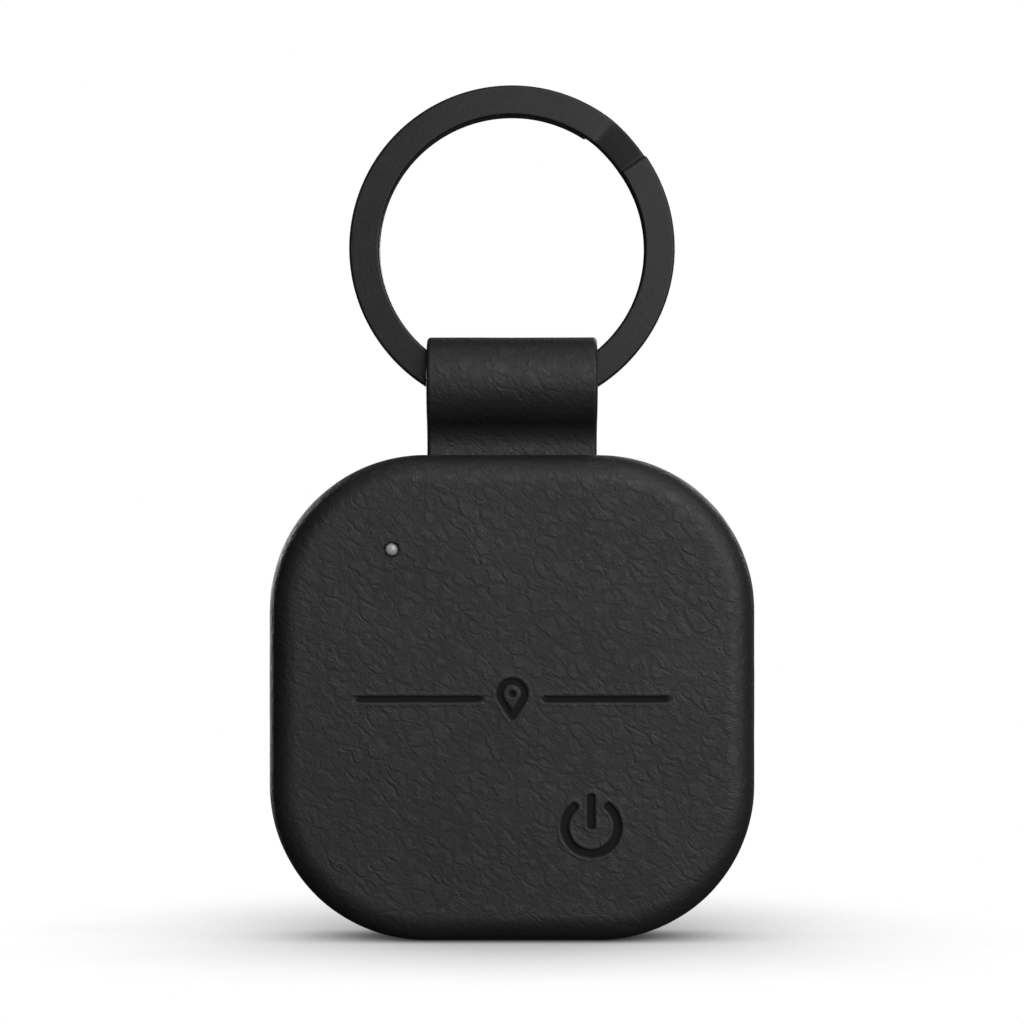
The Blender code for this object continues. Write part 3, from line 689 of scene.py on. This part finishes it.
def build_seal():
    """The gasket, carried along the case's outline and open where the strap passes.

    Its section is a half-round bead, a thin web between the shells, and a lip that fills the gap
    between the leathers to just below their surface.
    """
    case = bpy.context.scene.tracker_case
    half, radius = CASE_HALF - case.edge, case.corner - case.edge
    count, slot_ease, below_leather, web_angle = 130, 0.2 * MM, 0.3 * MM, 0.12
    line = np.linspace(-half, half, count)
    square = np.stack(np.meshgrid(line, line, indexing="ij"), -1).reshape(-1, 2)[perimeter(count)]
    outline, facing = rounded_outline(square / half, half, radius)
    slot = (np.abs(outline[:, 0]) < case.slot_width + slot_ease) & (outline[:, 1] > 0)
    start = np.flatnonzero(slot & ~np.roll(slot, -1))[0] + 1
    order = (start + np.arange(np.count_nonzero(~slot))) % len(slot)
    outline, facing = outline[order], facing[order]
    low, high = corners("case_seal")
    outer, inner = high[0] - half, 0.75 * MM
    bead = (high[1] - low[1]) / 2
    shell = corners("front_shell")[1]
    web, lip = -0.9 * shell[1], 0.9 * SEAM_HALF
    web_end, lip_end = shell[0] - half, case.edge - below_leather
    bend = np.linspace(-pi / 2, -web_angle, 5)
    lower = [(inner, -bead)]
    lower += [(outer - bead * (1 - np.cos(a)), bead * np.sin(a)) for a in bend]
    lower += [(web_end, -web), (web_end, -lip), (lip_end - lip / 2, -lip), (lip_end, -lip / 2)]
    section = lower + [(u, -v) for u, v in reversed(lower)]
    centres = np.stack([outline[:, 0], 0 * outline[:, 0], CASE_MIDDLE + outline[:, 1]], 1)
    across = np.insert(facing, 1, 0.0, axis=1)
    upward = np.tile([0.0, 1.0, 0.0], (len(outline), 1))
    points = centres[:, None] + offsets(np.array(section), across, upward)
    piece = swept_piece("rim_seal", points)
    return piece


# ---------------------------------------------------------------- finishes


def fill(tree, made, sockets):
    """Sets a node's inputs to values, or links them to other nodes' outputs."""
    for key, value in sockets.items():
        if isinstance(value, bpy.types.NodeSocket):
            tree.links.new(value, made.inputs[key])
        else:
            made.inputs[key].default_value = value
    return made


def add(tree, kind, sockets=None, **settings):
    """A shader node with its settings and its filled sockets."""
    made = tree.nodes.new("ShaderNode" + kind)
    for key, value in settings.items():
        setattr(made, key, value)
    return fill(tree, made, sockets or {})


def calculate(tree, operation, a, b=0.0, c=0.0):
    return add(tree, "Math", {0: a, 1: b, 2: c}, operation=operation).outputs[0]


def ramp_value(tree, value, low, high, to_low=0.0, to_high=1.0):
    """The value's way from low to high, smoothed, as a number from to_low to to_high."""
    sockets = {0: value, 1: low, 2: high, 3: to_low, 4: to_high}
    return add(tree, "MapRange", sockets, interpolation_type="SMOOTHSTEP").outputs[0]


def blend_colour(tree, share, first, second):
    made = add(tree, "Mix", {0: share, 6: first, 7: second}, data_type="RGBA")
    return made.outputs[2]


def rgba(colour, share=1.0):
    """A colour times share, with its alpha."""
    return (*(share * value for value in colour), 1.0)


def noise(tree, place, scale, detail, **more):
    sockets = {"Vector": place, "Scale": scale, "Detail": detail, **more}
    return add(tree, "TexNoise", sockets).outputs["Fac"]


def in_units(tree, place, unit):
    """Coordinates counted in units of that many millimetres."""
    per_unit = calculate(tree, "DIVIDE", 1 / MM, unit)
    return add(tree, "VectorMath", {0: place, "Scale": per_unit}, operation="SCALE").outputs[0]


def new_group(name, inputs, outputs):
    """An empty shader group with its named sockets, and its input and output nodes."""
    tree = bpy.data.node_groups.new(name, "ShaderNodeTree")
    for socket, kind, default in inputs:
        made = tree.interface.new_socket(socket, in_out="INPUT", socket_type="NodeSocket" + kind)
        if default is not None:
            made.default_value = default
    for socket in outputs:
        tree.interface.new_socket(socket, in_out="OUTPUT", socket_type="NodeSocketFloat")
    return tree, tree.nodes.new("NodeGroupInput"), tree.nodes.new("NodeGroupOutput")


def lean_and_stretch(tree, place, lean, stretch):
    """Coordinates turned about Y by lean and drawn out, so a pattern runs down to the right."""
    turn = {"Vector": place, "Rotation": (0.0, lean, 0.0), "Scale": (stretch, 1.0, 1.0)}
    return add(tree, "Mapping", turn, vector_type="TEXTURE").outputs[0]


def jostle(tree, place, scale, amount):
    """Coordinates pushed about by noise, so that straight borders become crooked."""
    sockets = {"Vector": place, "Scale": scale, "Detail": 1.2, "Roughness": 0.5}
    drift = add(tree, "TexNoise", sockets).outputs["Color"]
    shift = add(tree, "VectorMath", {0: drift, 1: (0.5,) * 3}, operation="SUBTRACT")
    sockets = {0: shift.outputs[0], 1: (amount,) * 3, 2: place}
    return add(tree, "VectorMath", sockets, operation="MULTIPLY_ADD").outputs[0]


def pebbles(tree, place, density, shoulder):
    """Domes with flat tops: the distance to the nearest cell border, smoothed to 1 at shoulder."""
    sockets = {"Vector": place, "Scale": density}
    border = add(tree, "TexVoronoi", sockets, feature="DISTANCE_TO_EDGE").outputs["Distance"]
    return ramp_value(tree, border, 0.0, shoulder)


def off_middle(tree, level):
    """How far a noise is from its middle level."""
    return calculate(tree, "ABSOLUTE", calculate(tree, "SUBTRACT", level, 0.5))


def wrinkles(tree, place, scale, width):
    """Thin furrows along the middle level of a noise: 0 in the furrow and 1 beside it."""
    return ramp_value(tree, off_middle(tree, noise(tree, place, scale, 1.5)), 0.0, width)


def make_grain_group():
    """Leather grain: drawn-out pebbles with crooked borders, smaller ones between, and over them
    low ridges, furrows and fine pores.

    Slow patches hold the pebbles high in some places and leave others creased and flat. Height is
    about 0 in the deepest creases and 0.9 on the ridges. Tone drifts slowly from 0 to 1.
    """
    tree, given, result = new_group(
        "Leather grain", [("Place", "Vector", None), ("Cell", "Float", 0.8)], ["Height", "Tone"]
    )
    place = in_units(tree, given.outputs["Place"], given.outputs["Cell"])
    crooked = jostle(tree, place, 1.1, 0.9)
    leaning = lean_and_stretch(tree, crooked, radians(38), 1.8)
    large = pebbles(tree, leaning, 1.0, 0.2)
    between = lean_and_stretch(tree, jostle(tree, place, 2.4, 0.4), radians(25), 1.6)
    small = pebbles(tree, between, 2.1, 0.2)
    furrow = wrinkles(tree, lean_and_stretch(tree, crooked, radians(42), 3.0), 1.0, 0.04)
    ridge = wrinkles(tree, jostle(tree, place, 2.0, 0.35), 1.5, 0.035)
    pores = noise(tree, place, 3.0, 2.5)
    hold = ramp_value(tree, noise(tree, place, 1.1, 1.5), 0.38, 0.6)
    weights = (
        (small, 0.1),
        (ridge, -0.25),
        (furrow, calculate(tree, "MULTIPLY_ADD", hold, -0.2, 0.32)),
        (pores, 0.22),
    )
    large_weight = calculate(tree, "MULTIPLY_ADD", hold, 0.45, 0.1)
    height = calculate(tree, "MULTIPLY", large, large_weight)
    for relief, weight in weights:
        height = calculate(tree, "MULTIPLY_ADD", relief, weight, height)
    tone = ramp_value(tree, noise(tree, place, 0.16, 3.0), 0.3, 0.7)
    fill(tree, result, {"Height": height, "Tone": tone})
    return tree


def make_wear_group():
    """Use and making marks for hard surfaces: mottled tone, fine speckle and thin scratches.

    Each runs from 0 to 1. The scratches follow the middle level of a long drawn-out noise.
    """
    tree, given, result = new_group(
        "Surface wear",
        [("Place", "Vector", None), ("Size", "Float", 1.0)],
        ["Tone", "Speckle", "Scratch"],
    )
    place = in_units(tree, given.outputs["Place"], given.outputs["Size"])
    way = {"Vector": place, "Rotation": (0.3, 0.5, 0.2), "Scale": (0.25, 4.0, 4.0)}
    drawn = add(tree, "Mapping", way).outputs[0]
    lines = off_middle(tree, noise(tree, drawn, 1.2, 1.0, Distortion=0.4))
    marks = {
        "Tone": ramp_value(tree, noise(tree, place, 0.4, 4.0), 0.3, 0.7),
        "Speckle": noise(tree, place, 6.0, 2.0),
        "Scratch": ramp_value(tree, lines, 0.0, 0.012, 1.0, 0.0),
    }
    fill(tree, result, marks)
    return tree


def use_group(tree, group, **sockets):
    made = tree.nodes.new("ShaderNodeGroup")
    made.node_tree = group
    return fill(tree, made, sockets).outputs


def new_material(name, fixed):
    """A material with a clean Principled shader, whose even values are set on its own sockets."""
    material = bpy.data.materials.get("finish_" + name) or bpy.data.materials.new("finish_" + name)
    material.use_nodes = True
    tree = material.node_tree
    tree.nodes.clear()
    shader = add(tree, "BsdfPrincipled", fixed)
    output = add(tree, "OutputMaterial")
    tree.links.new(shader.outputs[0], output.inputs[0])
    return material, tree, shader


def bump(tree, shader, height, distance):
    made = add(tree, "Bump", {"Height": height, "Distance": distance, "Strength": 1.0})
    tree.links.new(made.outputs[0], shader.inputs["Normal"])


def attribute(tree, name):
    return add(tree, "Attribute", attribute_name=name, attribute_type="GEOMETRY")


def leather_material(finish, grain):
    """Black leather: grain and creases on the outside, a napped flesh side, smooth waxed edges."""
    fixed = {"Specular IOR Level": 0.5, "Coat Weight": 0.0}
    material, tree, shader = new_material("leather", fixed)
    place = attribute(tree, "grain_place").outputs["Vector"]
    marks = use_group(tree, grain, Place=place, Cell=finish.cell / MM)
    pressed = attribute(tree, "pressed").outputs["Fac"]
    flesh = attribute(tree, "flesh").outputs["Fac"]
    cut = attribute(tree, "cut_edge").outputs["Fac"]
    high = blend_colour(tree, marks["Tone"], rgba(finish.leather), rgba(finish.leather_high))
    # Painted shade: the creases take the leather colour at 0.8, fading to the grain's own colour on
    # the tops.
    crease_shade_fade = ramp_value(tree, marks["Height"], 0.2, 0.7)
    shown = blend_colour(tree, crease_shade_fade, rgba(finish.leather, 0.8), high)
    shown = blend_colour(tree, pressed, shown, rgba(finish.leather, 0.25))
    shown = blend_colour(tree, flesh, shown, rgba(finish.suede))
    even = finish.leather_rough
    rough = ramp_value(tree, marks["Height"], 0.2, 0.9, even + 0.12, even)
    for mask, more in ((marks["Tone"], 0.06), (flesh, 0.4), (pressed, 0.5)):
        rough = calculate(tree, "MULTIPLY_ADD", mask, more, rough)
    fill(tree, shader, {"Base Color": shown, "Roughness": rough})
    smooth = calculate(tree, "SUBTRACT", 1.0, calculate(tree, "MAXIMUM", flesh, cut))
    unpressed = calculate(tree, "MULTIPLY_ADD", pressed, -0.7, 1.0)
    keep = calculate(tree, "MULTIPLY", smooth, unpressed)
    bump(tree, shader, calculate(tree, "MULTIPLY", marks["Height"], keep), finish.grain_depth)
    return material


def ring_material(finish, wear):
    """Black-coated spring steel: a satin film, fine lines along the wire and a few scratches."""
    material, tree, shader = new_material("ring", {"Metallic": 0.0, "Specular IOR Level": 0.23})
    place = attribute(tree, "along_wire").outputs["Vector"]
    marks = use_group(tree, wear, Place=place, Size=1.2)
    coated = blend_colour(tree, marks["Tone"], rgba(finish.ring), rgba(finish.ring, 1.25))
    bare = calculate(tree, "MULTIPLY", marks["Scratch"], 0.25)
    coated = blend_colour(tree, bare, coated, rgba((0.05,) * 3))
    rough = calculate(tree, "MULTIPLY_ADD", marks["Speckle"], 0.12, finish.ring_rough)
    fill(tree, shader, {"Base Color": coated, "Roughness": rough})
    height = calculate(tree, "MULTIPLY_ADD", marks["Scratch"], -0.3, marks["Speckle"])
    bump(tree, shader, height, 0.006 * MM)
    return material


def lens_material(finish, wear):
    """Unlit diffusing plastic: milky grey, with a glossy skin."""
    fixed = {"Specular IOR Level": 0.6, "Coat Weight": 0.3, "Coat Roughness": 0.06}
    material, tree, shader = new_material("lens", fixed)
    place = add(tree, "TexCoord").outputs["Object"]
    marks = use_group(tree, wear, Place=place, Size=0.4)
    milky = blend_colour(tree, marks["Tone"], rgba(finish.lens, 0.6), rgba(finish.lens))
    rough = calculate(tree, "MULTIPLY_ADD", marks["Speckle"], 0.1, 0.14)
    fill(tree, shader, {"Base Color": milky, "Roughness": rough})
    bump(tree, shader, marks["Speckle"], 0.003 * MM)
    return material


HARD_FINISHES = {
    # slot: (colour, second colour, metallic, roughness, its spread, mark size in mm, bump in mm)
    "steel": ((0.42, 0.42, 0.43), (0.55, 0.55, 0.56), 1.0, 0.28, 0.2, 1.0, 0.004),
    "shell_plastic": ((0.018, 0.018, 0.019), (0.03, 0.03, 0.031), 0.0, 0.42, 0.2, 0.5, 0.012),
    "seal_rubber": ((0.006, 0.006, 0.006), (0.011, 0.011, 0.011), 0.0, 0.6, 0.2, 0.6, 0.006),
    "chip": ((0.012, 0.012, 0.013), (0.022, 0.022, 0.023), 0.0, 0.5, 0.2, 0.3, 0.006),
    "white_ceramic": ((0.62, 0.61, 0.58), (0.72, 0.71, 0.69), 0.0, 0.35, 0.15, 0.6, 0.003),
    "brass": ((0.6, 0.42, 0.16), (0.72, 0.53, 0.24), 1.0, 0.25, 0.2, 1.0, 0.004),
    "ferrite": ((0.03, 0.03, 0.033), (0.055, 0.054, 0.055), 0.0, 0.55, 0.25, 0.5, 0.01),
    "battery_foil": ((0.55, 0.55, 0.56), (0.68, 0.68, 0.69), 0.9, 0.22, 0.25, 3.0, 0.03),
    "tape": ((0.5, 0.36, 0.1), (0.62, 0.47, 0.16), 0.0, 0.3, 0.2, 2.0, 0.01),
    "red_wire": ((0.45, 0.02, 0.015), (0.55, 0.03, 0.02), 0.0, 0.35, 0.15, 0.8, 0.004),
    "black_wire": ((0.012, 0.012, 0.012), (0.02, 0.02, 0.02), 0.0, 0.38, 0.15, 0.8, 0.004),
}


def hard_material(slot, wear):
    """A mottled, speckled and lightly scratched hard surface in the slot's two colours."""
    first, second, metallic, rough, spread, size, depth = HARD_FINISHES[slot]
    fixed = {"Metallic": metallic, "Specular IOR Level": 0.5}
    material, tree, shader = new_material(slot, fixed)
    place = add(tree, "TexCoord").outputs["Object"]
    marks = use_group(tree, wear, Place=place, Size=size)
    mottled = blend_colour(tree, marks["Tone"], rgba(first), rgba(second))
    worn = calculate(tree, "MULTIPLY_ADD", marks["Speckle"], spread, rough - spread / 2)
    worn = calculate(tree, "MULTIPLY_ADD", marks["Scratch"], 0.1, worn)
    fill(tree, shader, {"Base Color": mottled, "Roughness": worn})
    height = calculate(tree, "MULTIPLY_ADD", marks["Scratch"], -0.5, marks["Speckle"])
    bump(tree, shader, height, depth * MM)
    return material


def copper_material(wear):
    """Enamelled copper: round windings side by side about the coil's axis."""
    material, tree, shader = new_material("copper", {"Metallic": 1.0})
    pitch, wave_turn = 0.35 * MM, 20
    place = add(tree, "TexCoord").outputs["Object"]
    centre = tuple(-middle_of("charging_coil"))
    centred = add(tree, "Mapping", {"Vector": place, "Location": centre}).outputs[0]
    sockets = {"Vector": centred, "Scale": 2 * pi / (wave_turn * pitch)}
    wave = add(tree, "TexWave", sockets, rings_direction="Y", wave_type="RINGS")
    rings = wave.outputs["Fac"]
    marks = use_group(tree, wear, Place=place, Size=1.0)
    # Painted shade and highlight: each winding is painted dark in the grooves between windings and
    # bright on its crest.
    copper_and_groove_shade = blend_colour(tree, rings, rgba((0.3, 0.1, 0.04)), rgba((0.78, 0.36, 0.18)))
    rough = calculate(tree, "MULTIPLY_ADD", marks["Speckle"], 0.15, 0.2)
    fill(tree, shader, {"Base Color": copper_and_groove_shade, "Roughness": rough})
    bump(tree, shader, rings, 0.1 * MM)
    return material


def board_material(finish, wear):
    """Solder mask over copper tracks, with the laminate's weave just showing."""
    material, tree, shader = new_material("board", {"Specular IOR Level": 0.55})
    place = add(tree, "TexCoord").outputs["Object"]
    way = {"Vector": place, "Rotation": (radians(90), 0, 0), "Scale": (900, 900, 900)}
    laid = {"Vector": add(tree, "Mapping", way).outputs[0], "Scale": 1.0, "Mortar Size": 0.07}
    laid.update({"Brick Width": 2.7, "Row Height": 0.9})
    tracks = add(tree, "TexBrick", laid).outputs["Fac"]
    marks = use_group(tree, wear, Place=place, Size=0.8)
    mask = blend_colour(tree, marks["Tone"], rgba(finish.board), rgba(finish.board, 1.2))
    board = blend_colour(tree, tracks, mask, rgba(finish.board, 1.9))
    rough = calculate(tree, "MULTIPLY_ADD", marks["Speckle"], 0.15, 0.22)
    fill(tree, shader, {"Base Color": board, "Roughness": rough})
    bump(tree, shader, calculate(tree, "MULTIPLY_ADD", tracks, 0.8, marks["Speckle"]), 0.02 * MM)
    return material


def dress(piece, material):
    piece.data.materials.clear()
    piece.data.materials.append(material)


# ---------------------------------------------------------------- operators


def shared_group(name, maker):
    return bpy.data.node_groups.get(name) or maker()


class TRACKER_OT_covers(Operator):
    """Builds the front and rear leather covers"""

    bl_idname = "tracker.build_covers"
    bl_label = "Leather covers"

    def execute(self, context):
        scene = context.scene
        case, marks = scene.tracker_case, scene.tracker_marks
        lens_x, lens_z = LENS_PLACE[0], LENS_PLACE[2] - CASE_MIDDLE
        button_x, button_z = BUTTON_PLACE[0], BUTTON_PLACE[2] - CASE_MIDDLE
        round_button, round_lens = (3.3 * MM, 4.6), (1.4 * MM, 2.0)
        slot_sides = [(x, 0.6 * MM, 2.0) for x in (-case.slot_width, case.slot_width)]
        crowded_x = [(button_x, *round_button), (0.0, 1.8 * MM, 2.2), (lens_x, *round_lens)]
        crowded_x += slot_sides
        crowded_z = [(button_z, *round_button), (0.0, 2.2 * MM, 2.6), (lens_z, *round_lens)]
        front = leather_cover("front_cover", -1, case.lines, crowded_x, crowded_z, marks)
        rear = leather_cover("rear_cover", 1, case.rear_lines, slot_sides, [])
        grain = shared_group("Leather grain", make_grain_group)
        leather = leather_material(scene.tracker_finish, grain)
        dress(front, leather)
        dress(rear, leather)
        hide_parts("front_leather", "button_pad")
        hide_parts("rear_leather")
        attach(rear, "case")
        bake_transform(front)
        places = np.empty(len(front.data.vertices) * 3)
        front.data.vertices.foreach_get("co", places)
        return {"FINISHED"}


class TRACKER_OT_strap(Operator):
    """Builds the leather strap that loops round the key ring"""

    bl_idname = "tracker.build_strap"
    bl_label = "Strap"

    def execute(self, context):
        scene = context.scene
        piece = build_strap(scene.tracker_strap)
        dress(piece, bpy.data.materials["finish_leather"])
        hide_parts("leather_strap", "strap_tail")
        above, below = Vector(BEND_AXIS), Vector(BEND_AXIS)
        above.z += 1.6 * MM
        below.z -= 0.6 * MM
        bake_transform(piece)
        return {"FINISHED"}


class TRACKER_OT_ring(Operator):
    """Builds the black split ring"""

    bl_idname = "tracker.build_ring"
    bl_label = "Split ring"

    def execute(self, context):
        scene = context.scene
        piece = build_ring(scene.tracker_ring)
        wear = shared_group("Surface wear", make_wear_group)
        dress(piece, ring_material(scene.tracker_finish, wear))
        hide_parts("key_ring")
        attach(piece, "key_ring")
        return {"FINISHED"}


class TRACKER_OT_light_and_seal(Operator):
    """Builds the light pipe's dome and the gasket between the covers"""

    bl_idname = "tracker.build_light_and_seal"
    bl_label = "Light pipe and seal"

    def execute(self, context):
        wear = shared_group("Surface wear", make_wear_group)
        lens, seal = build_lens(), build_seal()
        dress(lens, lens_material(context.scene.tracker_finish, wear))
        dress(seal, hard_material("seal_rubber", wear))
        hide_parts("led_lens")
        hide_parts("case_seal")
        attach(lens, "case")
        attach(seal, "case")
        return {"FINISHED"}


class TRACKER_OT_insides(Operator):
    """Gives every part inside the case its own finish"""

    bl_idname = "tracker.finish_insides"
    bl_label = "Inside parts"

    def execute(self, context):
        wear = shared_group("Surface wear", make_wear_group)
        board = board_material(context.scene.tracker_finish, wear)
        made = {"copper": copper_material(wear), "board": board}
        for node in NODES.values():
            if node.hide_render:
                continue
            for slot in node.material_slots:
                name = slot.material.name
                if name.startswith("finish_"):
                    continue
                if name not in made:
                    if name not in HARD_FINISHES:
                        raise RuntimeError(f"{node.name} has a slot with no finish: {name}")
                    made[name] = hard_material(name, wear)
                slot.material = made[name]
        return {"FINISHED"}


STUDIO_LIGHTS = {
    # name: (place, (width, height), its power setting, whether it lights only the leather)
    "key": ((0.34, -0.68, 0.2), (0.8, 0.8), "key", False),
    "overhead": ((0.05, -0.1, 0.45), (0.3, 0.2), "top", False),
    "rear": ((0.3, 0.65, 0.25), (0.4, 0.4), "back", False),
    "left_rim": ((-0.25, 0.31, 0.0), (0.06, 0.3), "rim", True),
    "right_side": ((0.45, 0.4, 0.1), (0.3, 0.4), "side", True),
}


def area_light(name, place, target, size, power):
    light = bpy.data.lights.new(name, "AREA")
    light.shape = "RECTANGLE"
    light.size, light.size_y = size
    light.energy = power
    lamp = bpy.data.objects.new(name, light)
    lamp.location = place
    lamp.rotation_euler = (Vector(target) - Vector(place)).to_track_quat("-Z", "Y").to_euler()
    bpy.context.scene.collection.objects.link(lamp)
    return lamp


def floor_material(studio):
    """A white sweep that glows for the camera, with a painted soft contact shadow, dark to all
    else.

    The painted shadow is the product of how open the view is towards each side. At shut it is
    darkest, and at clear it has gone.
    """
    fixed = {"Roughness": 0.9, "Base Color": (0.05, 0.05, 0.05, 1)}
    material, tree, shader = new_material("floor", fixed)
    sideways, forward, up = 0.84, -0.2, 0.5
    shut, clear, darkest = 0.12, 0.93, 0.03
    tilts = []
    for way in (-sideways, sideways):
        facing = add(tree, "CombineXYZ", {"X": way, "Y": forward, "Z": up}).outputs[0]
        sockets = {"Distance": studio.shadow, "Normal": facing}
        tilts.append(add(tree, "AmbientOcclusion", sockets, samples=16).outputs["AO"])
    near = calculate(tree, "MULTIPLY", *tilts)
    sockets = {0: near, 1: shut, 2: clear, 3: darkest, 4: 1.0}
    shade = add(tree, "MapRange", sockets).outputs[0]
    grey = add(tree, "CombineColor", {0: shade, 1: shade, 2: shade}).outputs[0]
    glow = add(tree, "Emission", {"Color": grey, "Strength": 1.0})
    seen = add(tree, "LightPath").outputs["Is Camera Ray"]
    mix = add(tree, "MixShader", {0: seen, 1: shader.outputs[0], 2: glow.outputs[0]})
    output = next(node for node in tree.nodes if node.type == "OUTPUT_MATERIAL")
    tree.links.new(mix.outputs[0], output.inputs[0])
    return material


class TRACKER_OT_stage(Operator):
    """Sets up the pale floor, the soft lights and the camera"""

    bl_idname = "tracker.build_stage"
    bl_label = "Studio"

    def execute(self, context):
        scene, studio = context.scene, context.scene.tracker_studio
        half_side, below = 3.0, 0.02 * MM
        corner = np.array([(-1, -1), (1, -1), (1, 1), (-1, 1)]) * half_side
        level = np.insert(corner, 2, FLOOR_LEVEL - below, axis=1)
        mesh = bpy.data.meshes.new("floor")
        mesh.from_pydata(level.tolist(), [], [(0, 1, 2, 3)])
        floor = bpy.data.objects.new("floor", mesh)
        scene.collection.objects.link(floor)
        dress(floor, floor_material(studio))

        world = bpy.data.worlds.new("studio_world")
        world.use_nodes = True
        tree = world.node_tree
        tree.nodes.clear()
        seen = add(tree, "LightPath").outputs["Is Camera Ray"]
        white = add(tree, "Background", {"Color": (1, 1, 1, 1), "Strength": 1.0})
        dim = add(tree, "Background", {"Color": (1, 1, 1, 1), "Strength": studio.ambient})
        mix = add(tree, "MixShader", {0: seen, 1: dim.outputs[0], 2: white.outputs[0]})
        tree.links.new(mix.outputs[0], add(tree, "OutputWorld").inputs[0])
        scene.world = world

        leather = bpy.data.collections.new("lit_by_side_lights")
        for name in ("front_cover", "rear_cover", "strap_leather"):
            leather.objects.link(bpy.data.objects[name])
        middle = (0, 0, CASE_MIDDLE + 10 * MM)
        for name, (place, size, power, leather_only) in STUDIO_LIGHTS.items():
            lamp = area_light(name, place, middle, size, getattr(studio, power))
            if leather_only:
                lamp.light_linking.receiver_collection = leather

        camera = bpy.data.cameras.new("camera")
        camera.sensor_width = 36.0
        camera.lens = camera.sensor_width * studio.distance / studio.frame_width
        camera.clip_start = 0.01
        view = bpy.data.objects.new("camera", camera)
        view.location = (0, -studio.distance, -studio.drop)
        view.rotation_euler = (radians(90), 0, 0)
        scene.collection.objects.link(view)
        scene.camera = view
        scene.view_settings.view_transform = "Standard"
        return {"FINISHED"}


class TRACKER_PT_panel(Panel):
    """Lists the pieces in the order in which they are built"""

    bl_idname = "TRACKER_PT_panel"
    bl_label = "Tracker Tag"
    bl_space_type = "VIEW_3D"
    bl_region_type = "UI"
    bl_category = "Tracker Tag"

    def draw(self, context):
        for step in BUILD_STEPS:
            self.layout.operator(step.bl_idname)


BUILD_STEPS = (
    TRACKER_OT_covers,
    TRACKER_OT_strap,
    TRACKER_OT_ring,
    TRACKER_OT_light_and_seal,
    TRACKER_OT_insides,
    TRACKER_OT_stage,
)
SETTINGS = {
    "tracker_case": CaseSettings,
    "tracker_marks": MarkSettings,
    "tracker_strap": StrapSettings,
    "tracker_ring": RingSettings,
    "tracker_finish": FinishSettings,
    "tracker_studio": StudioSettings,
}


def register():
    for group in SETTINGS.values():
        bpy.utils.register_class(group)
    for name, group in SETTINGS.items():
        setattr(bpy.types.Scene, name, PointerProperty(type=group))
    for step in (*BUILD_STEPS, TRACKER_PT_panel):
        bpy.utils.register_class(step)


def unregister():
    for step in reversed((*BUILD_STEPS, TRACKER_PT_panel)):
        bpy.utils.unregister_class(step)
    for name in SETTINGS:
        delattr(bpy.types.Scene, name)
    for group in SETTINGS.values():
        bpy.utils.unregister_class(group)


def main():
    """Builds every piece in order."""
    register()
    for step in BUILD_STEPS:
        group, name = step.bl_idname.split(".")
        getattr(getattr(bpy.ops, group), name)()


if __name__ == "__main__":
    main()
